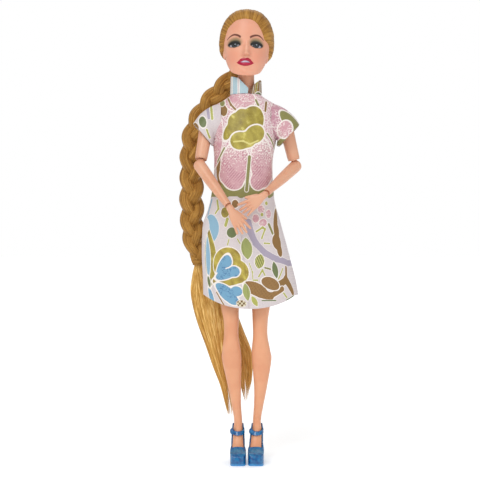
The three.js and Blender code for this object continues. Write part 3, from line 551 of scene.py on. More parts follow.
def eye_coats(face, side, cx, cz, gaze, tilt):
    """An eye: green shade and dark rim of the lids, the white, iris, pupil and light, and the lashes' line"""
    iris = cx + gaze
    coats = [
        (face.oval(cx - 0.2 * side, cz + 1.4, 4.3, 3.0, 0.45, tilt) * 0.8, "#6f6d48"),
        (face.oval(cx, cz + 0.7, 3.9, 2.0, 0.3, tilt) * 0.95, "#23271b"),
        (face.oval(cx, cz - 0.3, 3.7, 1.9, 0.16, tilt) * face.z.step(cz - 1.9, cz - 1.2), "#16150f"),
        (face.oval(cx, cz - 0.6, 3.2, 1.35, 0.16, tilt) * 0.85, "#37342f"),
        (face.oval(cx, cz - 0.65, 2.8, 1.0, 0.2, tilt), "#a9a6b0"),
        (face.oval(iris, cz - 0.15, 2.1, 1.95, 0.12), "#101214"),
        (face.oval(iris, cz - 0.35, 1.5, 1.35, 0.4) * 0.75, "#454c52"),
        (face.oval(iris, cz - 0.1, 0.9, 0.95, 0.25), "#060708"),
        (face.oval(iris + 0.35, cz + 0.25, 0.45, 0.35, 0.5) * 0.75, "#b9c2ca"),
    ]
    share, off = face.along((cx - 3.9, cz - 0.1), (cx + 3.9, cz - 0.1 + 0.5 * tilt))
    arch = off - (1 - abs(share - 0.5) * 2).most(0) ** 0.6 * 1.45
    lashes = abs(arch).step(0.95, 0.45) * share.step(-0.08, 0.02) * share.step(1.08, 0.98)
    return [*coats, (lashes, "#0f0e0b")]


# Each brow from its inner end over its peak to its outer end
BROWS = (
    ((-4.1, 13.1), (-8.6, 14.9), (-12.9, 12.0)),
    ((2.1, 13.0), (7.2, 14.8), (10.9, 12.2)),
)
BROW_WIDTHS = ((0.72, 0.62), (0.62, 0.2))  # half width at both ends of a brow's inner and outer stretch
BROW_BULGE = 0.45


def brow_coats(face, inner, peak, outer):
    """A brow's two stretches, each a tapering stroke with a slight bulge"""
    coats = []
    for start, end, (first, last) in zip((inner, peak), (peak, outer), BROW_WIDTHS):
        share, off = face.along(start, end)
        way = 1 if end[0] > start[0] else -1
        rise = off * way - BROW_BULGE * 4 * share * (1 - share)
        width = first + (last - first) * share
        ends = share.step(-0.08, 0.04) * share.step(1.06, 0.98)
        coats.append(((abs(rise) / width).step(1.3, 0.6) * ends * 0.95, "#5a281b"))
    return coats


MOUTH_X, MOUTH_Z, MOUTH_HALF = -0.45, -3.0, 5.8  # the mouth's middle and half width


def lips_field(face):
    """1 on the lips: a bow above, a round edge below and pointed corners"""
    across = face.x - MOUTH_X
    reach = across / MOUTH_HALF
    taper = (1 - (reach * reach).least(1)).root()
    bow = abs(across) - 2.0
    upper = MOUTH_Z + (2.9 * taper - bow * bow * 0.14) * taper
    lower = MOUTH_Z - 2.5 * taper * taper.root()
    below, above = (face.z - upper).step(0.18, -0.12), (face.z - lower).step(-0.18, 0.12)
    return below * above * abs(reach).step(1.0, 0.95)


def mouth_coats(face, lips):
    """Red lips with a painted highlight on the lower one, and an arch of teeth with a painted highlight on it
    """
    across = face.x - MOUTH_X
    arch = face.z - MOUTH_Z - 0.75 + across ** 2 * 0.1
    base = face.z - MOUTH_Z + 0.3 - across ** 2 * 0.012
    teeth = arch.step(0.28, -0.12) * base.step(-0.12, 0.16)
    return [
        (lips, "#a60831"),
        # painted highlight on the lower lip
        (lips * face.oval(MOUTH_X + 0.6, MOUTH_Z - 1.2, 2.6, 0.4, 0.8) * 0.4, "#d02c56"),
        (teeth, "#a99cb4"),
        # painted highlight on the teeth
        (teeth * face.oval(MOUTH_X - 0.2, MOUTH_Z + 0.45, 1.8, 0.4, 0.8) * 0.7, "#d9d2de"),
    ]


def head_paint():
    """Vinyl face with painted brows, shaded eyes and lips"""
    paint = skin_paint("painted_face", "#e2a488", "#db957a")
    face = Face(paint)
    front = face.y.step(-3, -7)
    colour = Wire(paint, paint.shader.inputs["Base Color"].links[0].from_socket)
    coats = skin_coats(face)
    for eye in EYES:
        coats += eye_coats(face, *eye)
    for brow in BROWS:
        coats += brow_coats(face, *brow)
    lips = lips_field(face)
    for mask, tint in coats + mouth_coats(face, lips):
        colour = paint.mix(mask * front, colour, tint)
    paint.set(base_color=colour, roughness=0.4 - 0.16 * lips * front)
    return paint


EARS = (((-14.0, 0.2, 4.2), 3.6), ((13.4, 0.2, 3.4), 4.3))  # each ear's middle and half height


def head_pieces():
    paint = head_paint()
    skull = sculpted(rings(HEAD_STATIONS, 12, 180, bunch=0.55))
    ears = [ellipsoid(place, (1.4, 2.3, tall), 32, 20) for place, tall in EARS]
    plug = ellipsoid((0, 0, 0), (8.6, 8.6, 8.6), 64, 40)
    parts = [closed_skin(grid) for grid in (skull, *ears, plug)]
    local, faces = several(parts)
    head = new_piece("doll_head", on_head(local), faces, paint, np.array(local))
    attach(head, "head")
    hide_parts("head")


# Hair


def hair_paint():
    """Glossy nylon fibre: fine streaks along the strands, with painted shade in the folds and painted
    highlights on the crests
    """
    paint = Paint("golden_fibre", roughness=0.36, anisotropic=0.5, specular_tint=rgba("#ffe2a8"))
    across, along, lift = paint.attribute("strand")
    fine = paint.noise(paint.vector(across * 1.7, along * 0.06, 0.0), 2.6, 3, 0.65)
    broad = paint.noise(paint.vector(across * 0.45, along * 0.02, 3.7), 1.3, 2)
    # the streaks follow the same fine noise as the bump, so the colour darkens in its grooves as painted
    # shade
    shade = (fine * 0.62 + broad * 0.38).step(0.3, 0.72)
    golds = [(0.0, "#4e2f10"), (0.3, "#8c5f27"), (0.6, "#b98841"), (0.85, "#dcae62"), (1.0, "#f2d08a")]
    # lift lightens the colour: a painted highlight on the crests of the combed and plaited hair, and a
    # lighter tone on each loose strand
    colour = paint.node("ValToRGB", {"stops": golds}, {0: (shade * 0.72 + lift * 0.3).most(0)})
    paint.set(base_color=colour, normal=paint.bump(fine, 0.55, 0.00035), roughness=0.3 + 0.25 * fine)
    return paint


hair_finish = hair_paint()


def ridges(across, along, seed):
    """Height of combed fibres from -1 to 1: coarse locks with fine hairs on them"""
    coarse = noise.noise(Vector((across * 0.8, along * 0.02, seed)))
    fine = noise.noise(Vector((across * 2.1, along * 0.035, seed + 9)))
    return 0.5 * coarse + 0.5 * fine


def hair_piece(name, parts, seeds=None):
    """A piece of hair from (grid, across, along, lift) parts, which keeps its fibre directions and its
    painted lightness for its paint
    """
    skins, marks = [], []
    for grid, across, along, lift in parts:
        skins.append(closed_skin(grid))
        mark = np.stack([across, along, lift], -1).reshape(-1, 3)
        marks.append(np.vstack([mark, mark[:1], mark[-1:]]))
    points, faces = several(skins)
    piece = new_piece(name, points, faces, hair_finish)
    keep_on_points(piece.data, "strand", np.vstack(marks))
    return piece


# The hairline, from behind the right ear over the forehead to behind the left one; it lies on the skull
# where no depth is given
HAIRLINE = [
    (-13.4, 7, 3.6), (-15.2, 4.4, 4.6), (-15.8, 1, 6.4), (-15.2, -1.6, 9), (-14.8, None, 11.6),
    (-13.7, None, 15.8), (-12.5, None, 19.4), (-10.3, None, 21.8), (-7.6, None, 23.9), (-4, None, 25),
    (-0.4, None, 25.1), (3.3, None, 24.3), (5.8, None, 22.7), (8, None, 19.8), (10.2, None, 15.9),
    (11.3, None, 12.8), (12.9, -2.6, 10), (14.5, 0.2, 7.2), (15.3, 3, 2.2), (13, 6, -3.2),
]
GATHER = np.array((-4.2, 14.6, -3.4))  # where the combed hair is gathered into the plait
SKULL_MIDDLE = np.array((0, 2.5, 9.0))  # the combed hair is laid out along rays from here
COMBED_COLUMNS, COMBED_ROWS = 560, 64
COMBED_LENGTH, COLUMN_STEP = 50, 0.16  # the paint's measures along a fibre, and from one column to the next
HAIR_RIDGE = 0.34


def solid_tree(grid):
    points, faces = closed_skin(grid)
    return BVHTree.FromPolygons([Vector(p) for p in points], faces)


def skull_reach(tree, way):
    hit = tree.ray_cast(Vector(SKULL_MIDDLE), Vector(way))
    return hit[3] if hit[0] else 10.0


def hair_cap():
    """Hair combed back from the hairline over the skull to the nape"""
    surface = solid_tree(rings(HAIR_STATIONS, 10, 120))
    scalp = solid_tree(rings(HEAD_STATIONS, 10, 120))
    roots = []
    for x, y, z in HAIRLINE:
        hit = scalp.ray_cast(Vector((x, -60, z)), Vector((0, 1, 0)))[0]
        roots.append((x, hit[1] if y is None and hit else y or 0, z))
    outer, inner, marks = [], [], []
    for c, root in enumerate(spline(roots, COMBED_COLUMNS)):
        start, end = unit(root - SKULL_MIDDLE), unit(GATHER - SKULL_MIDDLE)
        over = unit(np.array((start[0], 0.8, start[2])))
        column = c * COLUMN_STEP
        for share in np.linspace(0, 1, COMBED_ROWS):
            way = unit((1 - share) ** 2 * start + 2.6 * share * (1 - share) * over + share ** 2 * end)
            rise = 1 - (1 - min(1, share / 0.13)) ** 2.2
            low = skull_reach(scalp, way)
            high = max(skull_reach(surface, way), low + 0.6)
            height = ridges(column, share * COMBED_LENGTH, 1.3)
            depth = low - 0.25 + (high - low + 0.25) * rise + HAIR_RIDGE * height * (0.3 + 0.7 * rise)
            outer.append(SKULL_MIDDLE + depth * way)
            inner.append(SKULL_MIDDLE + max(4, min(low - 0.5, depth - 0.6)) * way)
            # the third number is painted light: lighter on the crests of the ridges, darker between them
            marks.append((column, share * COMBED_LENGTH, 0.25 + 0.4 * height))
    shape = (COMBED_COLUMNS, COMBED_ROWS, 3)
    outer, inner = np.array(outer).reshape(shape), np.array(inner).reshape(shape)
    points, faces = double_skin(outer, inner, wrap=False)
    cap = new_piece("combed_hair", on_head(points), faces, hair_finish)
    keep_on_points(cap.data, "strand", np.vstack([marks, marks]))
    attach(cap, "head")
    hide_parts("hair_cap")


# The plait

PLAIT_ROUTE = [
    (-5, 13.5, 261), (-11.5, 15.5, 254.5), (-18, 16.6, 247), (-25, 17.4, 238.6), (-31, 17, 229.4),
    (-35.2, 15.6, 218), (-36.6, 14.2, 204), (-36.6, 13, 186), (-36.4, 12.6, 168), (-35.8, 12.4, 154),
    (-34.2, 12.2, 143.6), (-32.3, 12, 137), (-31.8, 12, 132.4),
]
# A lobe's length, how far the strands swing sideways and to front and back, and a strand's half width
LOBE, SWAY, WEAVE, STRAND = 14.2, 3.9, 2.3, 4.4
PLAIT_STEPS, PLAIT_SIDES = 360, 56
TIE = np.array((-31.9, 12, 132.6))


def plait_fullness(t):
    """The plait's share of its full width: it grows from the nape and narrows into the tie"""
    return min(1, 0.72 + 2 * t) * (1 if t < 0.84 else 1 - 0.46 * ((t - 0.84) / 0.16) ** 1.4)


def plait():
    """Three strands that weave round one route"""
    route = spline(PLAIT_ROUTE, PLAIT_STEPS + 1)
    tangents = np.gradient(route, axis=0)
    length = np.linalg.norm(np.diff(route, axis=0), axis=1).sum()
    turns = length / (3 * LOBE)
    angle = np.arange(PLAIT_SIDES) * 2 * math.pi / PLAIT_SIDES
    parts = []
    for phase in range(3):
        grid = np.empty((PLAIT_STEPS + 1, PLAIT_SIDES, 3))
        marks = np.empty((PLAIT_STEPS + 1, PLAIT_SIDES, 3))
        for i, (point, tangent) in enumerate(zip(route, tangents)):
            t = i / PLAIT_STEPS
            along = unit(tangent)
            sideways = unit(np.cross((0, 1, 0), along))
            out = unit(np.cross(along, sideways))
            swing = 2 * math.pi * (turns * t + phase / 3)
            full = plait_fullness(t)
            middle = point + full * (SWAY * math.sin(swing) * sideways + WEAVE * math.sin(2 * swing) * out)
            for k, a in enumerate(angle):
                fibre = 6.0 * (a / (2 * math.pi)) * 2 + phase * 31
                height = ridges(10 * math.cos(a) + fibre * 0.2, i * 0.3 + 8 * math.sin(a), phase * 5.0)
                swell = full * (STRAND + 0.42 * height)
                grid[i, k] = middle + swell * (math.cos(a) * sideways + 0.8 * math.sin(a) * out)
                # the third number is painted light: lighter on the crests of the strands' ridges, darker
                # between them
                marks[i, k] = (10 * math.cos(a) + phase * 31, i * 0.55 + 7 * math.sin(a), 0.3 + 0.35 * height)
        parts.append((grid, marks[..., 0], marks[..., 1], marks[..., 2]))
    braid = hair_piece("plait", parts)
    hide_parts("hair_braid")
    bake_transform(braid)


TIE_STEPS, TIE_STEPS_A_TURN, TIE_SIDES = 160, 40, 14
TIE_TALL, TIE_THREAD = 3.2, 0.55  # height of the winding and half the thickness of what is wound


def hair_tie():
    """A thin band of the doll's own hair wound round the plait's end"""
    path = []
    for i in range(TIE_STEPS):
        a = i * 2 * math.pi / TIE_STEPS_A_TURN
        rise = -TIE_TALL / 2 + TIE_TALL * i / (TIE_STEPS - 1)
        path.append(TIE + (3.5 * math.cos(a), 3.4 * math.sin(a), rise))
    grid = tube_rings(path, [TIE_THREAD] * TIE_STEPS, TIE_SIDES, up=(0, 0, 1))
    across = np.tile(np.linspace(0, 6, TIE_SIDES), (TIE_STEPS, 1))
    along = np.tile(np.arange(TIE_STEPS)[:, None] * 0.5, (1, TIE_SIDES))
    band = hair_piece("hair_band", [(grid, across, along, 0 * along + 0.2)])
    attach(band, "torso")
    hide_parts("hair_tie")


# The two locks below the tie, the one away from the legs and the one behind them
OUTER_LOCK = [
    (-31.9, 12, 135.6, 2.7, 2.6, 2.6),
    (-31.9, 12, 130.4, 2.7, 2.6, 2.6),
    (-30.6, 13.4, 124, 5.2, 3, 3),
    (-26.8, 15.2, 114, 10, 3, 3),
    (-24.4, 15.2, 104, 10.8, 2.8, 2.8),
    (-22.4, 14.4, 92, 9.6, 2.6, 2.6),
    (-19.8, 13.6, 78, 7.4, 2.4, 2.4),
    (-16.6, 13.4, 63, 5.6, 2.2, 2.2),
    (-13.4, 14, 50, 4, 1.8, 1.8),
    (-11.6, 14.8, 38, 2.7, 1.4, 1.4),
    (-10.6, 15.4, 29.6, 1.6, 0.9, 0.9),
]
INNER_LOCK = [
    (-29.6, 12.8, 128, 3, 2.4, 2.4),
    (-23, 14.8, 118, 5.4, 2.6, 2.6),
    (-15, 15, 107, 5.4, 2.4, 2.4),
    (-10, 14.2, 96, 4.6, 2.4, 2.4),
    (-6.4, 12.8, 85, 5.2, 2.4, 2.4),
    (-2.4, 12, 73, 6, 2.2, 2.2),
    (-0.4, 11.8, 60, 5.2, 2, 2),
    (0, 11.8, 50, 4, 1.6, 1.6),
    (0.2, 11.6, 39.4, 1.2, 0.8, 0.8),
]


FIBRE_SIDES = 12


def loose_strands(stations, count, seed):
    """Tapering strands that fill a lock from its root to its tip, some ending early"""
    rows = smooth(stations, 12)
    parts = []
    for n in range(count):
        u, v = rng.uniform(-1, 1), rng.uniform(-0.8, 0.8)
        stop = int(len(rows) * (1 - 0.32 * rng.random() ** 2.2))
        wander = rng.uniform(0, 40)
        path, radii = [], []
        for i in range(stop):
            x, y, z, wide, front, back = rows[i][:6]
            t = i / (stop - 1)
            drift = 0.16 * noise.noise(Vector((t * 3, wander, seed)))
            path.append((x + (0.86 * u + drift) * wide, y + v * front * 0.7, z))
            radii.append((0.28 + 0.2 * wide) * (0.45 + 0.55 * min(1, 4 * t)) * max(0.05, 1 - t ** 3.5))
        grid = tube_rings(path, radii, FIBRE_SIDES, flat=0.62)
        across = np.tile(n * 7 + np.linspace(0, 4, FIBRE_SIDES), (stop, 1))
        along = np.tile(np.arange(stop)[:, None] * 0.9, (1, FIBRE_SIDES))
        # each loose strand is painted lighter all along, by an amount that differs a little from strand to
        # strand
        lift = 0 * along + 1.4 + 0.4 * rng.uniform(-1, 1)
        parts.append((grid, across, along, lift))
    return parts


def loose_hair():
    parts = loose_strands(OUTER_LOCK, 64, 2.0) + loose_strands(INNER_LOCK, 44, 5.0)
    tail = hair_piece("loose_hair", parts)
    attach(tail, "torso")
    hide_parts("hair_tail")


# Torso

TORSO_STATIONS = [
    (0, 0, 142, 14, 8.5, 9),
    (0, 0, 150, 16.6, 10.5, 11),
    (0, 0, 159, 17.2, 10.4, 9.6),
    (0, 0, 168, 15.4, 9.2, 8.8),
    (0, 0, 178, 12.2, 7.8, 7.4),
    (0, 0, 188, 12.6, 8.2, 7.6),
    (0, 0, 199, 15, 9.4, 8.6),
    (0, 0, 210, 17.2, 10.4, 9),
    (0, 0, 222, 17.6, 9.6, 8.4),
    (0, 0, 230, 17.6, 8.2, 7.6),
    (0, 0, 234.4, 16.8, 7.6, 7.2),
    (0, 0, 238.4, 11.6, 6.6, 6.4),
    (0, 0, 242.4, 7.2, 5.8, 5.8),
    (0, 0, 247, 5.6, 5.4, 5.4),
    (0, 0, 258.2, 5.3, 5.3, 5.3),
]


def neck_skin():
    """The neck's smooth skin over the moulded halves, from the collar to the cup that takes the head"""
    grid = rings(TORSO_STATIONS[-6:], 10, 96, grow=0.12)
    neck = new_piece("neck_skin", *closed_skin(grid), hard_skin)
    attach(neck, "torso")


# Arms

ARMS = {
    "right": {
        "side": -1, "shoulder": (-25.5, 0, 226.5), "elbow": (-30.2, -9.5, 196.4),
        "wrist": (-10.4, -26, 168.2), "hand": (0.5, -0.08, -0.86),
    },
    "left": {
        "side": 1, "shoulder": (25.5, 0, 226.5), "elbow": (33.0, 5, 197),
        "wrist": (11.9, -19.8, 177), "hand": (-0.79, -0.05, -0.6),
    },
}
# Each finger: how far it lies from the palm's middle, its splay in degrees, its length and its root's radius
FINGERS = [(2.9, 15, 9, 1.15), (1, 4, 9.8, 1.2), (-1, -1, 9.2, 1.15), (-2.8, -11, 7.8, 1.05)]
KNUCKLES = -9.6
ELBOW_GAP, WRIST_GAP = 5.6, 2.8  # the upper arm and the forearm end this far before the next joint


def limb(stations, sides=64, per_span=10):
    return rings([(0, 0, z, *size) for z, *size in stations], per_span, sides)


def finger_rings(root, tip, root_radius, tip_radius):
    """A finger with two knuckles, a pad between them and a round tip"""
    root, tip = np.array(root, float), np.array(tip, float)
    path, radii = [], []
    for t in np.linspace(0, 1, 28):
        path.append(root + t * (tip - root))
        plain = root_radius + (tip_radius - root_radius) * t
        knuckles = 0.07 * (math.exp(-((t - 0.38) / 0.08) ** 2) + math.exp(-((t - 0.68) / 0.07) ** 2))
        cap = math.sqrt(max(0.01, 1 - max(0, (t - 0.9) / 0.1) ** 2))
        radii.append((plain + knuckles) * cap)
    return tube_rings(path, radii, 20)


def hand_mesh(side):
    thumb = -side
    palm = rings([
        (0, 0, 0.4, 2.3, 2.2, 2.2), (0, 0, -2.6, 2.6, 2, 2), (0.3 * thumb, 0, -6, 3.9, 1.8, 1.7),
        (0, 0, -9.6, 4.1, 1.4, 1.4), (0, 0, -11.4, 3.4, 0.7, 0.7),
    ], 6, 40)
    parts = [palm, ellipsoid((0, 0, 0), (2.4, 2.4, 2.4), 32, 20)]
    for across, splay, long, radius in FINGERS:
        lean = math.radians(thumb * splay)
        root = (thumb * across, 0, KNUCKLES)
        tip = (thumb * across + long * math.sin(lean), 0.6, KNUCKLES - long * math.cos(lean))
        parts.append(finger_rings(root, tip, radius, 0.72))
    parts.append(finger_rings((thumb * 2.2, 0.3, -4), (thumb * 6.2, 0.9, -11.6), 1.4, 0.82))
    return several([closed_skin(grid) for grid in parts])


def arm(name):
    spec = ARMS[name]
    joints = (np.array(spec[key], float) for key in ("shoulder", "elbow", "wrist", "hand"))
    shoulder, elbow, wrist, hand_runs = joints
    upper, fore = elbow - shoulder, wrist - elbow
    shoulder_hinge = unit(np.cross((1, 0, 0), upper))
    elbow_hinge = unit(np.cross(fore, upper))
    wrist_hinge = unit(np.cross(fore, hand_runs))
    reach, span = np.linalg.norm(upper) - ELBOW_GAP, np.linalg.norm(fore) - WRIST_GAP
    upper_arm = limb([
        (3.2, 3.8, 3.8, 3.8), (1.5, 4.7, 4.7, 4.7), (0, 5, 5, 5), (-7, 4.5, 4.6, 4.6),
        (-0.6 * reach, 4.2, 4.3, 4.3), (-reach + 0.5, 4.03, 4.03, 4.03), (-reach, 3.8, 3.8, 3.8),
    ])
    peg_ring = limb([
        (5.3, 3.6, 3.6, 3.6), (5.2, 3.85, 3.85, 3.85), (4.5, 3.85, 3.85, 3.85), (4.4, 3.6, 3.6, 3.6),
    ], 64, 3)
    forearm = limb([
        (3.4, 1.8, 2, 2), (2.2, 3.3, 3.4, 3.4), (0, 3.95, 4, 4), (-8, 3.9, 3.9, 3.9),
        (-0.55 * span, 3.4, 3.4, 3.4), (-0.85 * span, 2.6, 2.6, 2.6),
        (-span + 0.3, 2.42, 2.42, 2.42), (-span, 2.2, 2.2, 2.2),
    ])
    skins = {
        "upper_arm": closed_skin(moved(upper_arm, limb_matrix(shoulder, upper, shoulder_hinge))),
        "forearm": closed_skin(moved(forearm, limb_matrix(elbow, fore, elbow_hinge))),
    }
    for node, (points, faces) in skins.items():
        piece = new_piece(f"{name}_{node}_skin", points, faces, hard_skin)
        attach(piece, f"{name}_{node}")
        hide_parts(f"{name}_{node}")
    points, faces = closed_skin(moved(peg_ring, limb_matrix(elbow, upper, elbow_hinge)))
    cuff = new_piece(f"{name}_elbow_ring", points, faces, hard_skin)
    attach(cuff, f"{name}_elbow")
    points, faces = hand_mesh(spec["side"])
    points = moved(np.array(points), limb_matrix(wrist, hand_runs, wrist_hinge))
    hand = new_piece(f"{name}_hand_skin", points, faces, hard_skin)
    apply_modifier(hand, "REMESH", mode="VOXEL", voxel_size=0.00022)
    apply_modifier(hand, "SMOOTH", factor=0.5, iterations=6)
    mark_places(hand)
    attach(hand, f"{name}_hand")
    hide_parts(f"{name}_hand")


# Legs

HIP_X = 9.8
KNEE_TOP, KNEE_BOTTOM = 95, 75
STANCE = 5.8  # the feet stand this far behind the hips
# Where the middle of each leg runs across the doll, from the dress's hem to the toe
LEGS = {
    "right": {"side": -1, "hem": -10.5, "knee": -9.8, "calf": -9.4, "shin": -7.6, "ankle": -5.3, "toe": -5.3},
    "left": {"side": 1, "hem": 9.8, "knee": 9.4, "calf": 10.4, "shin": 9.7, "ankle": 7.4, "toe": 6.5},
}


def leg_stations(leg):
    hip = leg["side"] * HIP_X
    hem, knee, calf, shin, ankle, toe = (leg[k] for k in ("hem", "knee", "calf", "shin", "ankle", "toe"))
    return [
        (hip, 0, 151, 7.9, 7.9, 7.9),
        (hip, -0.2, 140, 8.5, 8.6, 8.6),
        (hip, -0.6, 128, 8.1, 8.3, 8.2),
        ((hip + hem) / 2, -1, 115, 7, 7.3, 7),
        (hem, -1.4, 103, 5.9, 6.3, 5.9),
        (knee, -1.8, KNEE_TOP, 5.1, 5.6, 5),
        (knee, -2, 85, 4.8, 5.2, 4.6),
        ((knee + calf) / 2, -1.4, KNEE_BOTTOM, 6.1, 5.2, 6.6),
        (calf, 0.3, 68, 6.4, 5, 7.2),
        (shin, 3.6, 50, 4.3, 4, 4.6),
        ((shin + ankle) / 2, 6, 38, 3.2, 3.3, 3.6),
        (ankle, STANCE + 2, 28, 2.7, 3, 3.5),
        (ankle, STANCE + 1.8, 21.5, 3, 3.4, 4.2, -12),
        ((ankle + toe) / 2, STANCE - 0.4, 16, 3.4, 3.3, 3.8, -38),
        (toe, STANCE - 4.4, 10.6, 3.7, 2.8, 2.6, -58),
        (toe, STANCE - 8.8, 7.2, 4, 2.2, 2.1, -75),
        (toe, STANCE - 12.6, 5.6, 3.8, 1.5, 1.4, -86),
        (toe, STANCE - 14.2, 5.2, 2.8, 0.7, 0.6, -90),
    ]


def leg_skin(name):
    grid = rings(leg_stations(LEGS[name]), 9, 72)
    leg = new_piece(f"{name}_leg_skin", *closed_skin(grid), soft_skin)
    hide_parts(*[f"{name}_{part}_skin" for part in ("thigh", "knee", "shin")])
    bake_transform(leg)


# Shoes


def shoe_paint():
    """Translucent glossy vinyl, deep navy where it is thick and paler where it is thin over the skin"""
    paint = Paint("translucent_blue_vinyl", roughness=0.14, ior=1.5, coat_weight=0.3, coat_roughness=0.06)
    x, y, z = paint.attribute("place")
    place = paint.vector(x, y, z)
    cloud = paint.noise(place, 0.5, 3)
    vamp = z.step(6, 10) * y.step(-2, -6)
    side = paint.mix(cloud.step(0.3, 0.7), "#0b4480", "#1270a6")
    colour = paint.mix(vamp * (0.45 + 0.4 * cloud), side, "#4b8196")
    colour = paint.mix(z.step(2.2, 0.6) * 0.7, colour, "#3f9ad6")
    paint.set(base_color=colour, normal=paint.bump(paint.noise(place, 1.1, 2), 0.05, 0.0003))
    return paint


# Where an outline's two measures u and v and its depth w lie in x, y and z, seen from each direction
PLANES = {
    "side": lambda u, v, w: (w, u, v),
    "above": lambda u, v, w: (u, v, w),
    "front": lambda u, v, w: (u, w, v),
}


def outline_prism(name, outline, low, high, plane):
    """A flat outline seen from one direction, drawn out into a solid between two depths"""
    place = PLANES[plane]
    count = len(outline)
    points = [place(u, v, w) for w in (low, high) for u, v in outline]
    faces = [(i, (i + 1) % count, (i + 1) % count + count, i + count) for i in range(count)]
    faces += [tuple(reversed(range(count))), tuple(range(count, 2 * count))]
    tool = new_piece(name, points, faces, soft_skin)
    return tidy_normals(tool)


def tidy_normals(piece):
    """Turns every face outwards"""
    mesh = bmesh.new()
    mesh.from_mesh(piece.data)
    bmesh.ops.recalc_face_normals(mesh, faces=mesh.faces)
    mesh.to_mesh(piece.data)
    mesh.free()
    return piece


def stood_back(name, outline, low, high, plane):
    """An outline of the shoe, moved back to the line that the feet stand on"""
    back_u, back_v = (STANCE, 0) if plane == "side" else (0, STANCE)
    return outline_prism(name, [(u + back_u, v + back_v) for u, v in outline], low, high, plane)


def curve_through(*pieces):
    """An outline from straight corners (u, v) and bends (control u, v, end u, v)"""
    points = [pieces[0]]
    for piece in pieces[1:]:
        if len(piece) == 2:
            points.append(piece)
            continue
        (u0, v0), (cu, cv, u1, v1) = points[-1], piece
        for t in np.linspace(0, 1, 17)[1:]:
            points.append((
                (1 - t) ** 2 * u0 + 2 * t * (1 - t) * cu + t * t * u1,
                (1 - t) ** 2 * v0 + 2 * t * (1 - t) * cv + t * t * v1,
            ))
    return points


shoe_finish = shoe_paint()
UPPER_THICKNESS, FOOT_ROOM = 1.4, 0.45  # the upper's outside and inside, from the skin
HEEL_RADIUS = 3
LAST_WIDTH = 12  # further to each side than any part of the shoe

# Outlines of the shoe from the side, as y and z before the stance, with its toe to the left
SOLE_SIDE = curve_through(
    (-15, 0), (-16.6, 0.4, -16.6, 3.4), (-16.4, 7.4, -12.8, 8.4), (-6, 8.2, 2, 14.5),
    (8.6, 15.5), (9.8, 13, 8.9, 8), (9.2, 0), (3.4, 0), (4, 8.4, 0.6, 7.4), (-3.4, 5.6, -6.4, 0),
)
UPPER_SIDE = [
    (-18, 2), (-18, 10), (-10, 12.4), (-5.6, 9.4), (-2, 10.8), (1.6, 16),
    (3.4, 21.4), (4.6, 24.8), (12, 25.4), (12, 2),
]
STRAP_SIDE = [(-7, 17.4), (-7, 19.7), (5, 22.3), (5, 20)]


def grown_foot(leg, label, grow):
    """The foot with its heel, larger all round by grow"""
    radius = HEEL_RADIUS + grow
    heel = ellipsoid((leg["ankle"], STANCE + 5, 17.4), (0.95 * radius, radius, 1.45 * radius), 40, 28)
    shape = new_piece(label, *closed_skin(rings(leg_stations(leg)[11:], 8, 64, grow=grow)), shoe_finish)
    ball = new_piece(label + "_heel", *closed_skin(heel), shoe_finish)
    return carve(tidy_normals(shape), "UNION", tidy_normals(ball))


def shoe(name):
    leg = LEGS[name]
    toe, ankle = leg["toe"], leg["ankle"]
    plan_outline = curve_through(
        (toe - 5.3, -11), (toe - 5.2, -16.6, toe, -16.7), (toe + 5.2, -16.6, toe + 5.3, -11),
        (ankle + 4.8, -4, ankle + 3.7, 1), (ankle + 4.4, 9.4, ankle, 9.6),
        (ankle - 4.4, 9.4, ankle - 3.7, 1), (toe - 4.8, -4, toe - 5.3, -11),
    )[:-1]
    sole = stood_back(f"{name}_shoe", SOLE_SIDE, toe - 9, toe + 9, "side")
    carve(sole, "INTERSECT", stood_back("plan", plan_outline, -1, 20, "above"))
    sides = stood_back("upper_side", UPPER_SIDE, toe - LAST_WIDTH, toe + LAST_WIDTH, "side")
    strap = stood_back("strap_side", STRAP_SIDE, toe - LAST_WIDTH, toe + LAST_WIDTH, "side")
    upper = carve(grown_foot(leg, "upper", UPPER_THICKNESS), "INTERSECT", sides)
    band = carve(grown_foot(leg, "band", UPPER_THICKNESS), "INTERSECT", strap)
    fastening = ellipsoid((ankle - 3.9, STANCE - 1.4, 20.4), (1.5, 1.9, 2.1), 32, 22)
    lobe = new_piece("lobe", *closed_skin(fastening), shoe_finish)
    carve(sole, "UNION", upper, band, tidy_normals(lobe))
    carve(sole, "DIFFERENCE", grown_foot(leg, "foot_room", FOOT_ROOM))
    apply_modifier(sole, "REMESH", mode="VOXEL", voxel_size=0.0002)
    apply_modifier(sole, "SMOOTH", factor=0.5, iterations=5)
    sole.data.materials.clear()
    sole.data.materials.append(shoe_finish.material)
    mark_places(sole)
    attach(sole, f"{name}_shin")
    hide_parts(f"{name}_shoe")


# Dress

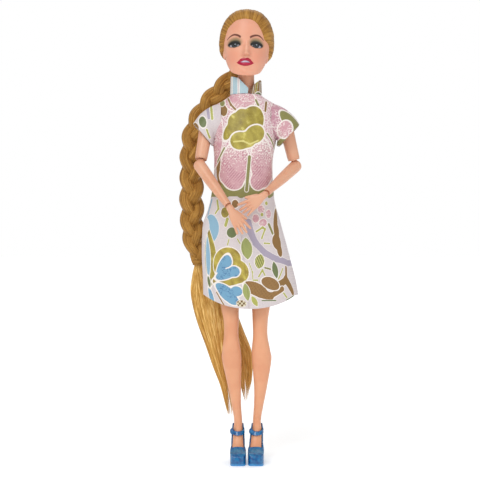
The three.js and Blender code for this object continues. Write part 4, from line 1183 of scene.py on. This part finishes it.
WAIST, NECKLINE = 175.6, 243.6
CLOTH = 0.8
BODICE_STATIONS = [
    (-2.3, 0, WAIST - 4, 21.4, 12.6, 10.8),
    (-2.3, 0, WAIST, 20.9, 12.2, 10.4),
    (-2, 0, 190, 19.4, 12.8, 10.4),
    (-1.6, 0, 203, 19.6, 16, 10.8),
    (-1, 0, 213, 20.6, 17.8, 11.2),
    (-0.4, 0, 224, 21.1, 15, 11.4),
    (0, 0, 233, 21, 11.4, 10.8),
    (0, 0, 237.2, 19.4, 9.4, 9.2),
    (0, 0, 240.6, 13.8, 9, 8.8),
    (0, 0, NECKLINE, 10, 8.8, 8.6),
    (0, 0, NECKLINE + 4, 8.6, 8.4, 8.2),
]
SKIRT_STATIONS = [
    (-2.3, 0, WAIST + 4, 20.6, 12, 10.2),
    (-2.3, 0, WAIST, 20.9, 12.2, 10.4),
    (-2.3, 0, 166, 22.8, 13.2, 11.4),
    (-2.6, 0, 155, 25.4, 14.2, 12.6),
    (-1.7, 0, 143, 27.1, 14.8, 12.8),
    (0, 0, 127, 28.8, 15.4, 12.6),
    (2, 0, 110, 30.2, 16, 12.4),
    (3, 0, 95, 30.8, 16.4, 12.6),
]
HEM_FRONT, HEM_RISE, FLUTES, FLUTE_DEPTH = 103.2, 8.6, 6, 0.5
# The hem's curve on the doll's right and left: where it starts, the bend between, and where it ends
HEM_SPANS = ((-28, -14, 2), (2, 20, 32.5))

PIXEL = 0.649  # how much of the dress's front a pixel of the photo shows
PHOTO_MIDDLE = 240
FINEST = 0.15  # half the width of the finest line in the cloth
RUN_TOGETHER = 1.2  # how softly the forms of one motif join

# The woven pattern, read off the photo. Each motif has its thread, the width of its cream outline in
# millimetres and its forms: ovals and leaves (middle across and down, half width, half height, tilt in
# degrees) and bars (both ends, half width). A form's numbers are pixels of the photo, which on_cloth and
# woven_size turn into millimetres.
MOTIFS = {
    "bodice": {
        "speckled field": ("blush", 0, ("oval", 247, 130, 46, 60, 0)),
        "green foot": ("olive", 0, ("oval", 237, 191, 46, 11, 0)),
        "brown leaf at the right shoulder": ("bronze", 0.4, ("oval", 223, 108, 5, 7.6, 14)),
        "gold leaf at the right armhole": ("gold", 0.4, ("oval", 214.6, 113, 3, 7.6, 6)),
        "brown leaf at the right waist": ("bronze", 0, ("oval", 219, 171, 4.2, 15, 6)),
        "pink cloud on the right": ("pink", 0.6, ("oval", 215, 140, 11, 27, -8)),
        "pink cloud below the collar": ("pink", 0.6, ("oval", 240, 100, 15.5, 11, 4)),
        "mauve cloud on the left": ("mauve", 0.6, ("oval", 277, 120, 13.5, 25, 8)),
        "brown twig": (
            "bronze", 0.35, ("bar", 228, 97, 230.6, 103.5, 1.1), ("bar", 230.6, 103.5, 236, 109.5, 1.1),
        ),
        "green twig": (
            "olive", 0.35, ("bar", 256, 99, 258.3, 104, 1.1), ("bar", 258.3, 104, 258.6, 109, 1.1),
        ),
        "brown bud": ("bronze", 0.5, ("bar", 266.5, 101, 265.5, 110, 1.4)),
        "right petal": (
            "petal", 0.75, ("oval", 234, 166, 15.2, 22.5, -8), ("oval", 227.5, 175, 10, 8.6, 0),
            ("oval", 234.8, 182.6, 8.2, 6.8, 0),
        ),
        "left petal": (
            "petal", 0.75, ("oval", 263, 163, 13.2, 24, 3), ("oval", 257.8, 181, 7.6, 8.6, 0),
            ("oval", 268, 172, 8, 9, 0),
        ),
        "flower's stem": ("olive", 0.5, ("bar", 246.6, 190, 249.5, 157, 1.5)),
        "right stem": ("olive", 0.5, ("bar", 224.3, 148, 217.4, 161, 0.9)),
        "left stem": (
            "olive", 0.5, ("bar", 267.2, 133.5, 271.6, 139.4, 0.9), ("bar", 271.6, 139.4, 275, 148, 0.9),
        ),
        "flower's head": (
            "gold", 0.9, ("oval", 253.5, 119, 11.6, 13.6, 0), ("oval", 244, 120, 9, 12, 20),
            ("oval", 237, 123, 9.8, 11, 0), ("oval", 228.8, 131, 5, 10, -30),
        ),
        "flower's cup": (
            "bean", 0.95, ("oval", 255.3, 134.5, 10.6, 8.8, 28), ("oval", 247.5, 140, 9, 8, 20),
            ("oval", 240, 141.3, 10, 8.8, 0),
        ),
        "light on the cup": (
            "shine", 0, ("bar", 234, 142.2, 243, 141.5, 0.8), ("bar", 243, 141.5, 250, 144.6, 0.8),
            ("bar", 250, 144.6, 258, 141, 0.7),
        ),
        "lime stem": ("lime", 0.4, ("bar", 211.5, 103, 212.4, 112, 1), ("bar", 212.4, 112, 211.6, 118, 0.9)),
        "green bud": ("olive", 0.4, ("oval", 222, 101.5, 3.2, 3.6, 20)),
    },
    "skirt": {
        "blue stem": ("sky", 0, ("bar", 211.5, 199, 207.4, 215, 1.3)),
        "lime stem": (
            "lime", 0.35, ("bar", 217, 200, 218.2, 208.6, 1.2), ("bar", 218.2, 208.6, 215.2, 213.2, 1),
        ),
        "gold berry": ("gold", 0.5, ("oval", 224.9, 212.4, 4.4, 5.2, 0)),
        "gold berry's stem": ("lime", 0.35, ("bar", 227.4, 219, 225.6, 225.4, 1.6)),
        "brown berry": ("bronze", 0.5, ("oval", 235, 203.8, 3.4, 4, 0)),
        "green berry": ("moss", 0.4, ("oval", 231.8, 232.6, 5.2, 5.2, 0)),
        "right thorn": ("lime", 0.2, ("bar", 229, 239.5, 227.5, 245, 0.6)),
        "left thorn": ("lime", 0.2, ("bar", 237.5, 239, 240, 243.5, 0.6)),
        "blue ring": ("sky", 0.3, ("oval", 209.6, 228.8, 13.2, 14.6, -12)),
        "inside of the ring": ("ground", 0.4, ("oval", 204.8, 230.6, 8.6, 12.6, -8)),
        "gold leaf": ("gold", 0.5, ("leaf", 209.6, 258, 10, 29, -2)),
        "gold leaf's heart": ("sky", 0.7, ("leaf", 207.6, 257.6, 4.2, 22, -3)),
        "scalloped edge": (
            "scallop", 0.6, ("oval", 223.6, 263, 12, 15.5, -35), ("oval", 229, 257.6, 12, 10.2, 0),
            ("oval", 238.4, 271.4, 10.4, 11.4, 0), ("oval", 226, 280.6, 17, 5.6, 4),
        ),
        "upper blue petal": (
            "blue", 0.75, ("oval", 222.4, 267.5, 5.2, 14, -33), ("oval", 227.2, 262, 5, 6.4, -20),
        ),
        "lower blue petal": (
            "blue", 0.75, ("oval", 226, 274, 13.4, 4.8, 17), ("oval", 234.2, 271.4, 5.6, 5.2, 0),
        ),
        "heart of the petals": (
            "blue", 0, ("oval", 222.6, 265.8, 4, 11.5, -33), ("oval", 226.6, 273, 11.2, 3.6, 17),
        ),
        "fallen petals": (
            "blue", 0.75, ("oval", 224, 289.5, 11, 5, -24), ("oval", 236.4, 291.2, 6, 5, 0),
            ("oval", 232, 299, 7.6, 5, -32), ("oval", 226, 295, 11, 5, -38),
        ),
        "blue bud": ("blue", 0.6, ("oval", 211, 297, 3.2, 9.6, 20)),
        "brown stem": ("bronze", 0.3, ("bar", 216.5, 292.5, 224, 305, 0.8)),
        "green bud": ("moss", 0.7, ("oval", 208.6, 282, 2.5, 5.6, 14)),
        "pointed leaf": ("leafy", 0.5, ("leaf", 246.7, 248.4, 5.6, 11, 0)),
        "lilac ribbon": (
            "lilac", 0.25, ("bar", 248.2, 222, 250.6, 232, 3.4), ("bar", 250.6, 232, 256, 243.6, 3.4),
            ("bar", 256, 243.6, 264.6, 252.6, 3.4), ("bar", 264.6, 252.6, 275, 258.6, 3.4),
            ("bar", 275, 258.6, 290, 263.6, 3.4),
        ),
        "brown pod": (
            "bronze", 0.5, ("oval", 276, 221.5, 4.2, 13.5, -8), ("oval", 277.4, 242, 7.8, 8, 15),
            ("oval", 280, 250.5, 5, 6.4, 0), ("oval", 277.4, 232.5, 4.6, 8, 0),
        ),
        "upper pink berry": ("pink", 0.4, ("oval", 261.4, 209.2, 4, 3.8, 0)),
        "left pink berry": ("pink", 0.4, ("oval", 268.6, 213.8, 3.7, 4.1, 0)),
        "right pink berry": ("pink", 0.4, ("oval", 255.8, 218.4, 3.6, 4.2, 0)),
        "lower pink berry": ("pink", 0.4, ("oval", 263.1, 222.7, 4.6, 3.7, 12)),
        "upper seed": ("lime", 0.3, ("oval", 266.6, 203, 1.9, 2, 0)),
        "lower seed": ("lime", 0.3, ("oval", 262, 214.6, 1.7, 1.9, 0)),
        "lime hook": (
            "lime", 0.3, ("bar", 256.4, 231.6, 262.6, 227.4, 0.9), ("bar", 262.6, 227.4, 265.2, 229, 0.9),
            ("bar", 265.2, 229, 261.8, 238.4, 0.9),
        ),
        "olive pod": ("olive", 0.35, ("bar", 269, 224.4, 272.8, 233.2, 1.6)),
        "upper lime dash": ("lime", 0.3, ("bar", 264.2, 243.3, 269.8, 243.6, 0.8)),
        "striped leaf": ("striped", 0.5, ("leaf", 259.7, 261.4, 5, 7.6, -18)),
        "dark leaf": ("moss", 0.5, ("leaf", 275.4, 270, 3.9, 8.6, 6)),
        "olive dash": ("olive", 0.3, ("bar", 265, 267.8, 270.4, 269.3, 1)),
        "slanting stem": ("lime", 0.3, ("bar", 278.6, 279, 283, 268.6, 0.8)),
        "lime arrow": (
            "lime", 0.25, ("bar", 258.6, 276.6, 262.4, 270, 0.8), ("bar", 262.4, 270, 264.8, 275.2, 0.8),
        ),
        "middle lime dash": ("lime", 0.25, ("bar", 253.2, 280, 257.6, 280, 0.7)),
        "lime thread": (
            "lime", 0.2, ("bar", 249, 263, 252.4, 272, 0.5), ("bar", 252.4, 272, 252.8, 279, 0.5),
        ),
        "brown branch": (
            "bronze", 0.5, ("bar", 286.4, 268, 286.4, 280, 2.2), ("bar", 286.4, 280, 279, 285, 3.4),
            ("bar", 286.4, 280, 293, 292, 4.4),
        ),
        "dotted leaf and stalk": (
            "dotted", 0.5, ("oval", 256, 289, 13, 6.6, -24), ("bar", 260, 293.4, 270, 296.2, 4.2),
            ("bar", 270, 296.2, 282.6, 289, 2.6),
        ),
        "dotted bud": ("dotted", 0.5, ("oval", 271, 283.6, 10.6, 6.2, -18)),
        "leaf at the hem": ("leafy", 0.4, ("leaf", 246.4, 292, 3.6, 9, 4)),
        "lime leaf at the hem": ("lime", 0.3, ("leaf", 254.5, 301, 2.6, 5.6, 24)),
        "checkered button": ("checker", 0.2, ("oval", 241.4, 303.4, 5, 3.4, 0)),
        "long green line": ("moss", 0.2, ("bar", 262, 300.4, 276, 300.6, 0.6)),
        "lower lime dash": ("lime", 0.3, ("bar", 284, 293.6, 287, 297.6, 1.1)),
        "short green line": ("moss", 0.2, ("bar", 287, 300.5, 294, 296.4, 0.9)),
    },
    "right_sleeve": {
        "green bud": ("moss", 0.6, ("oval", 202.3, 121.1, 3.7, 5.9, 12)),
        "brown bud": ("bronze", 0.4, ("oval", 195.6, 125.4, 2.3, 4.4, 28)),
        "lilac stripe": ("lilac", 0.2, ("bar", 207, 106, 208.6, 117, 1.6)),
        "lime stem": ("lime", 0.4, ("bar", 206.5, 129, 209.4, 137, 1)),
        "lime stripe": ("lime", 0.4, ("bar", 210.6, 103, 212, 118, 1.2)),
    },
    "left_sleeve": {
        "mauve cloud": ("mauve", 0.6, ("oval", 277, 120, 13.5, 25, 8)),
        "green leaf": ("olive", 0.5, ("oval", 292, 123, 6.5, 17, 40)),
        "green bud": ("olive", 0.4, ("oval", 284.6, 140.6, 9, 4.2, 20)),
        "pink flower": ("pink", 0.8, ("oval", 285.4, 128.6, 7, 8.6, -20)),
    },
    "right_collar": {
        "pale stripe": ("pale", 0, ("bar", 231.2, 70, 231.2, 98, 1.4)),
        "narrow blue stripe": ("ice", 0.3, ("bar", 235, 70, 235, 98, 2.3)),
        "wide blue stripe": ("ice", 0.5, ("bar", 244.4, 70, 244.4, 98, 4.6)),
    },
    "left_collar": {
        "brown field": ("bronze", 0, ("oval", 256, 88, 12, 16, 0)),
        "front line": ("pale", 0, ("bar", 254.6, 80, 252.4, 95, 0.2)),
        "rust stripe": ("rust", 0, ("bar", 252, 84, 249.5, 95, 1.2)),
        "gold stripe": ("gold", 0.15, ("bar", 257.6, 78, 255.6, 92, 0.9)),
        "back line": ("pale", 0, ("bar", 260.4, 80, 260.2, 92, 0.3)),
        "green bud": ("moss", 0.5, ("oval", 258.8, 95, 3.7, 4.5, 0)),
    },
}

# Each thread's light and dark colour: for the gold threads these are painted sheen and painted shade, for the
# others woven tones
THREADS = {
    "ground": ("#d6cdcb", "#c9bfc3"),
    "pink": ("#cc9aa3", "#bb7f8b"),
    "petal": ("#cda0a7", "#ae7280"),
    "mauve": ("#bd8796", "#a36b7e"),
    "olive": ("#8c8a4e", "#75703f"),
    "gold": ("#b4a440", "#7a6820"),
    "bean": ("#c2b350", "#87772a"),
    "shine": ("#ddd48c", "#c9bd62"),
    "bronze": ("#8f6c37", "#7a5729"),
    "lime": ("#b3b25c", "#979a45"),
    "moss": ("#6f7a4c", "#57643e"),
    "leafy": ("#a3a866", "#8a9350"),
    "sky": ("#8fb4c8", "#7aa2ba"),
    "blue": ("#6f9fbd", "#3f6c98"),
    "lilac": ("#aaa0b0", "#998fa3"),
    "scallop": ("#c9b84c", "#7d6322"),
    "striped": ("#c2c06c", "#5f6434"),
    "dotted": ("#96713c", "#6f4a20"),
    "checker": ("#d8cfb0", "#6b4c24"),
    "pale": ("#d9d8cf", "#c6cbcd"),
    "ice": ("#b4c9ce", "#93b3c0"),
    "rust": ("#7c5a48", "#5f4234"),
    "blush": ("#c48f9b", "#e6dad8"),
}
CREAM = "#ebe3dc"


HIPS = 150


def cloth_round(garment, height):
    """Half width and middle of the round body that the cloth bends about, at a height given as a number
    or as a value in a material"""
    if garment == "bodice":
        return 22.0, -1.5
    below = HIPS - height
    below = below.most(0) if isinstance(below, Wire) else max(below, 0)
    return 23.5 + 0.12 * (WAIST - height), 0.1 * below - 2.5


def weave_place(paint, garment):
    """Where a point of the dress lies on its flat cloth; the back is cut from the same repeat as the front"""
    x, y, z = paint.attribute("place")
    if garment in ("skirt", "bodice"):
        half, middle = cloth_round(garment, z)
        x = ((x - middle) / half).least(0.99).most(-0.99).math("ARCSINE") * half
    return x * (1 - 2 * y.math("GREATER_THAN", 2.0)), z


def on_cloth(garment, across, down):
    """The place on the flat cloth that the photo shows at a pixel, to a tenth of a millimetre"""
    x = VIEW_CENTRE[0] + (across - PHOTO_MIDDLE) * PIXEL
    z = VIEW_CENTRE[1] + (PHOTO_MIDDLE - down) * PIXEL
    if garment in ("skirt", "bodice"):
        half, middle = cloth_round(garment, z)
        x = half * math.asin(max(-0.985, min(0.985, (x - middle) / half)))
    return round(x, 1), round(z, 1)


def woven_size(pixels):
    return max(FINEST, round(pixels * PIXEL, 1))


def brocade_paint(garment):
    """Satin brocade: motifs in coloured thread with cream outlines on a pale twill, with a painted sheen and
    painted shade across soft folds on the gold threads
    """
    paint = Paint(f"{garment}_brocade", roughness=0.46, sheen_weight=0.2, sheen_roughness=0.35)
    u, v = weave_place(paint, garment)
    flat = paint.vector(u, v, 0.0)
    ragged = paint.noise(flat, 1.7, 2) - 0.5
    flecks = paint.noise(flat, 0.95, 3, 0.7)
    bloom = paint.noise(flat, 0.16, 2)
    u, v = u + ragged * 0.55, v + ragged * 0.4
    cloth = paint.vector(u, v, 0.0)
    twill = (u * 7.2 + v * 5.1).sine() * 0.5 + 0.5
    hatch = (u * 3.1 - v * 2.9).sine().step(0.0, 0.9)
    stripes = (u * 5.2 - v * 2.4).sine().step(-0.2, 0.2)
    # folds and satin are painted light: soft folds that shade and light the gold threads, with a little of
    # the weave in them
    folds = paint.noise(paint.vector(u * 0.13 + v * 0.05, v * 0.1, 0.0), 1.6, 1)
    satin = (folds - 0.5) * 1.6 + 0.5 + (twill - 0.5) * 0.25
    dots = ((u * 4.4 + v * 2).sine() * (v * 4.6 - u * 2).sine()).step(0.15, 0.5)
    checks = ((u * 2.4).sine() * (v * 2.4).sine()).step(-0.1, 0.1)

    def thread(name):
        light, dark = THREADS[name]
        if name == "petal":
            colour = paint.mix(hatch * bloom.step(0.62, 0.4) * 0.9, light, dark)
            near = (v - 216).step(-30, 0) * 0.16 + flecks
            return paint.mix(near.step(0.6, 0.68), colour, CREAM)
        if name == "blush":
            return paint.mix(flecks.step(0.42, 0.54) * 0.9, light, dark)
        if name in ("pink", "mauve"):
            colour = paint.mix(twill * 0.5, light, dark)
            return paint.mix(flecks.step(0.46, 0.58) * bloom.step(0.36, 0.6) * 0.9, colour, CREAM)
        if name == "blue":
            return paint.mix(flecks.step(0.48, 0.6) * bloom.step(0.6, 0.42), light, dark)
        if name in ("gold", "bean", "scallop"):
            # gold threads: painted shade and sheen across the folds, and a pale gold painted highlight where
            # the sheen is strongest, also on some flecks
            colour = paint.mix(satin, dark, light)
            return paint.mix(satin.step(0.7, 1.0) * 0.9 + flecks.step(0.55, 0.72) * 0.3, colour, "#e6dc83")
        pattern = {"striped": stripes, "dotted": dots, "checker": checks}.get(name, twill * 0.8)
        return paint.mix(pattern, light, dark)

    def length(x, y):
        return paint.node("VectorMath", {"operation": "LENGTH"}, {0: paint.vector(x, y, 0.0)}, out="Value")

    def axis(middle, angle, scale=1.0):
        """How far a point lies from the middle along a direction, in units of scale"""
        way = (math.cos(angle) / scale, math.sin(angle) / scale, 0)
        along = paint.node("VectorMath", {"operation": "DOT_PRODUCT"}, {0: cloth, 1: way}, out="Value")
        return along - (middle[0] * way[0] + middle[1] * way[1])

    def form(kind, *drawn):
        """A form's field in millimetres: negative inside, zero on the edge"""
        start = on_cloth(garment, *drawn[:2])
        if kind == "bar":
            (u0, v0), (u1, v1), wide = start, on_cloth(garment, *drawn[2:4]), woven_size(drawn[4])
            middle, angle = ((u0 + u1) / 2, (v0 + v1) / 2), math.atan2(v1 - v0, u1 - u0)
            beyond = (abs(axis(middle, angle)) - math.hypot(u1 - u0, v1 - v0) / 2).most(0)
            return length(beyond, axis(middle, angle + math.pi / 2)) - wide
        wide, tall, angle = woven_size(drawn[2]), woven_size(drawn[3]), math.radians(drawn[4])
        if kind == "leaf":
            bow = (wide * wide + tall * tall) / (2 * wide)
            return length(abs(axis(start, angle)) + (bow - wide), axis(start, angle + math.pi / 2)) - bow
        round_field = length(axis(start, angle, wide), axis(start, angle + math.pi / 2, tall))
        return (round_field - 1) * min(wide, tall)

    colour = paint.mix(flecks.step(0.4, 0.7) * 0.35, thread("ground"), "#b9abb0")
    raised = 0
    for fill, outline, *forms in MOTIFS[garment].values():
        field = form(*forms[0])
        for more in forms[1:]:
            fields = {0: field, 1: form(*more), 2: RUN_TOGETHER}
            field = paint.node("Math", {"operation": "SMOOTH_MIN"}, fields)
        if outline:
            colour = paint.mix(field.step(outline + 0.12, outline - 0.12), colour, CREAM)
        inside = field.step(0.12, -0.12)
        colour = paint.mix(inside, colour, thread(fill))
        raised = inside + raised - inside * raised
    height = twill * 0.5 + flecks * 0.5
    paint.set(base_color=colour, roughness=0.56 - 0.16 * raised, normal=paint.bump(height, 0.35, 0.00025))
    return paint


def cloth_skin(name, outer, inner, paint, wrap=True):
    points, faces = double_skin(outer, inner, wrap)
    return tidy_normals(new_piece(name, points, faces, paint))


def pushed(grid, amount):
    """A grid's points moved outwards from each ring's middle, by one amount or by one for each point"""
    middle = grid.mean(1, keepdims=True)
    way = grid - middle
    way[..., 2] = 0
    way /= np.linalg.norm(way, axis=2, keepdims=True)
    return grid + way * np.asarray(amount)[..., None]


def wrinkles(grid, size, scale):
    """How far soft creases, longer than wide, lift each point of a garment"""
    crease = [size * noise.noise(Vector((x * scale, y * scale, z * scale * 0.45)))
              for x, y, z in grid.reshape(-1, 3)]
    return np.array(crease).reshape(grid.shape[:2])


def rows_between(grid, low, high):
    """The part of a garment's rings between two heights, which becomes its first and last row"""
    height = grid[..., 2].mean(1)
    inside = height[(height > low) & (height < high)]
    wanted = np.array([low, *sorted(inside), high])
    rising = grid if height[0] < height[-1] else grid[::-1]
    order = np.sort(height)
    share = np.interp(wanted, order, np.arange(len(order)))
    first = np.minimum(share.astype(int), len(order) - 2)
    rest = (share - first)[:, None, None]
    rows = rising[first] * (1 - rest) + rising[first + 1] * rest
    return rows if height[0] < height[-1] else rows[::-1]


ARMHOLE_X, ARMHOLE_Z, ARMHOLE_RADII = 22, 225.4, (7.2, 7.2, 9.7)


def bodice():
    outer = rows_between(rings(BODICE_STATIONS, 10, 180, grow=0.15), WAIST - 0.5, NECKLINE)
    outer = pushed(outer, wrinkles(outer, 0.5, 0.16))
    brocade = brocade_paint("bodice")
    cloth = cloth_skin("bodice", outer, pushed(outer, -CLOTH), brocade)
    for side in (-1, 1):
        hole = closed_skin(ellipsoid((side * ARMHOLE_X, 0, ARMHOLE_Z), ARMHOLE_RADII))
        carve(cloth, "DIFFERENCE", tidy_normals(new_piece("armhole", *hole, brocade)))
    mark_places(cloth)
    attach(cloth, "torso")
    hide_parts("dress_bodice")


def fluted(grid):
    """The skirt's rings with flutes that deepen towards the hem"""
    x, y, z = grid[..., 0], grid[..., 1], grid[..., 2]
    fall = np.maximum(0, (WAIST - z) / (WAIST - HEM_FRONT))
    swell = 1 + FLUTE_DEPTH / 20 * fall * np.cos(FLUTES * np.arctan2(y, x) + 0.8)
    return np.stack([x * swell, y * swell, z], -1)


def hem_height(x):
    """The hem hangs lowest in front and rises to the side seams"""
    right, left = HEM_SPANS
    on_left = x >= left[0]
    first, control, last = left if on_left else right
    a, b, c = first - 2 * control + last, 2 * (control - first), first - np.clip(x, right[0], left[2])
    t = (-b + math.sqrt(max(0, b * b - 4 * a * c))) / (2 * a) if abs(a) > 1e-9 else -c / b
    seam = HEM_FRONT + HEM_RISE
    start, end = (HEM_FRONT, seam) if on_left else (seam, HEM_FRONT)
    return (1 - t) ** 2 * start + 2 * t * (1 - t) * HEM_FRONT + t * t * end


def skirt():
    """The skirt's two halves meet at the middle of front and back"""
    grid = fluted(rows_between(rings(SKIRT_STATIONS, 14, 200), 97, WAIST + 0.6))
    outer = pushed(grid, wrinkles(grid, 0.45, 0.12))
    top = outer[0, :, 2].mean()
    for column in range(outer.shape[1]):
        low = hem_height(outer[-1, column, 0])
        bottom = outer[-1, column, 2]
        outer[:, column, 2] = top - (top - outer[:, column, 2]) * (top - low) / (top - bottom)
    inner = pushed(outer, -CLOTH)
    brocade = brocade_paint("skirt")
    front = int(np.argmin(outer[0, :, 1]))
    sides = outer.shape[1]
    for start in (front, front + sides // 2):
        columns = np.arange(start, start + sides // 2 + 1) % sides
        side = 1 if outer[0, columns, 0].mean() > 0 else -1
        name = "left" if side > 0 else "right"
        cloth = cloth_skin(f"{name}_skirt", outer[:, columns], inner[:, columns], brocade, wrap=False)
        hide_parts("dress_skirt")
        waist, thigh = in_frame((side * 10, 0, 172)), in_frame((side * 10, 0, 125))
        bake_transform(cloth)


# The sleeve's ends seen from the front, as x and z
SLEEVE_ENDS = {
    "right": [(-10, 245), (-10, 210.4), (-22.6, 210.4), (-34.8, 224.6), (-34.8, 245)],
    "left": [(10, 245), (10, 210), (22.4, 210), (35, 223.4), (35, 245)],
}


def sleeve(name):
    side = ARMS[name]["side"]
    stations = [
        (side * 16.5, 0, 226.6, 11.2, 9.6, 9.4, 0, side * -90),
        (side * 19, 0, 226, 11.5, 9.7, 9.4, 0, side * -88),
        (side * 21.8, 0, 224.8, 11.4, 9.8, 9.4, 0, side * -84),
        (side * 25.4, 0, 221.4, 10.8, 10.2, 9.2, 0, side * -62),
        (side * 28, 0, 217, 10.5, 10.6, 9.2, 0, side * -46),
        (side * 31, 0, 213.6, 10.4, 10.8, 9.2, 0, side * -45),
    ]
    outer = rings(stations, 12, 120)
    outer = pushed(outer, wrinkles(outer, 0.3, 0.2))
    inner = rings(stations, 12, 120, grow=-CLOTH)
    cloth = cloth_skin(f"{name}_sleeve", outer, inner, brocade_paint(f"{name}_sleeve"))
    carve(cloth, "INTERSECT", outline_prism("sleeve_ends", SLEEVE_ENDS[name], -20, 20, "front"))
    mark_places(cloth)
    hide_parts(f"dress_{name}_sleeve")
    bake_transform(cloth)


COLLAR_STATIONS = [(0, 0, 240, 10.6, 9.4, 9), (0, 0, 250, 10.3, 9.2, 8.7), (0, 0, 260, 9.9, 9, 8.4)]
# The collar's flaps seen from the front, as x and z
COLLARS = {
    "right": [
        (-0.4, 240), (1.2, NECKLINE + 0.3), (1.5, 247.1), (-5, 253.9),
        (-9.7, 255.6), (-14, 255.6), (-14, 240),
    ],
    "left": [(2, 240), (2, NECKLINE + 0.3), (2.4, 244.6), (5.3, 249.8), (9.1, 253), (14, 253), (14, 240)],
}


def collar(name):
    outer = rows_between(rings(COLLAR_STATIONS, 16, 160), NECKLINE + 0.1, 259)
    brocade = brocade_paint(f"{name}_collar")
    cloth = cloth_skin(f"{name}_collar", outer, pushed(outer, -CLOTH), brocade)
    carve(cloth, "INTERSECT", outline_prism("collar_edge", COLLARS[name], -20, 20, "front"))
    mark_places(cloth)
    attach(cloth, "torso")
    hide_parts(f"dress_{name}_collar")


# Everything in place

head_pieces()
hair_cap()
plait()
hair_tie()
loose_hair()
neck_skin()
bodice()
skirt()
for side_name in ("right", "left"):
    sleeve(side_name)
    collar(side_name)
    arm(side_name)
    leg_skin(side_name)
    shoe(side_name)

# What each CAD node that stays in sight or inside is made of; the first word found in its name decides
NODE_PAINTS = {
    "elbow_peg": hard_skin, "wrist_peg": hard_skin, "peg": peg_paint, "armature": peg_paint,
    "bar": wire_paint, "pin": wire_paint, "strip": tape_paint, "torso": hard_skin, "elbow": hard_skin,
}
for node_name, node in frame["nodes"].items():
    for word, paint in NODE_PAINTS.items():
        if word in node_name:
            node.data.materials.clear()
            node.data.materials.append(paint.material)
            if paint is hard_skin:
                mark_places(node)
            break

# Studio

AMBIENT = 0.5
# Each lamp: its name, the way it stands from the doll, its power, and its spread in degrees
SUNS = (
    ("key", (-0.45, -1, 0.95), 1.25, 35),
    ("fill", (0.7, -1, 0.25), 0.45, 60),
    ("top", (0.1, 0.5, 1), 0.5, 50),
)
FLOOR_HALF = 8.0  # metres


def studio():
    floor_paint = Paint("pale_floor", roughness=0.9)
    floor_paint.shader.inputs["Base Color"].default_value = (0.92, 0.92, 0.92, 1)
    floor_paint.shader.inputs["Emission Color"].default_value = (1, 1, 1, 1)
    floor_paint.shader.inputs["Emission Strength"].default_value = 0.3
    size = FLOOR_HALF
    mesh = bpy.data.meshes.new("floor")
    corners = [(-size, -size, 0), (size, -size, 0), (size, size, 0), (-size, size, 0)]
    mesh.from_pydata(corners, [], [(0, 1, 2, 3)])
    mesh.materials.append(floor_paint.material)
    floor = bpy.data.objects.new("floor", mesh)
    bpy.context.scene.collection.objects.link(floor)
    world = bpy.data.worlds.new("soft_light")
    world.use_nodes = True
    tree = world.node_tree
    background = tree.nodes["Background"]
    path = tree.nodes.new("ShaderNodeLightPath")
    level = tree.nodes.new("ShaderNodeMapRange")
    level.inputs["To Min"].default_value = AMBIENT
    level.inputs["To Max"].default_value = 1.0
    tree.links.new(path.outputs["Is Camera Ray"], level.inputs["Value"])
    tree.links.new(level.outputs["Result"], background.inputs["Strength"])
    background.inputs["Color"].default_value = (1, 1, 1, 1)
    bpy.context.scene.world = world
    bpy.context.scene.view_settings.view_transform = "Standard"
    for label, direction, power, spread in SUNS:
        data = bpy.data.lights.new(label, "SUN")
        data.energy = power
        data.angle = math.radians(spread)
        light = bpy.data.objects.new(label, data)
        light.rotation_euler = (-Vector(direction)).to_track_quat("-Z", "Y").to_euler()
        bpy.context.scene.collection.objects.link(light)


studio()
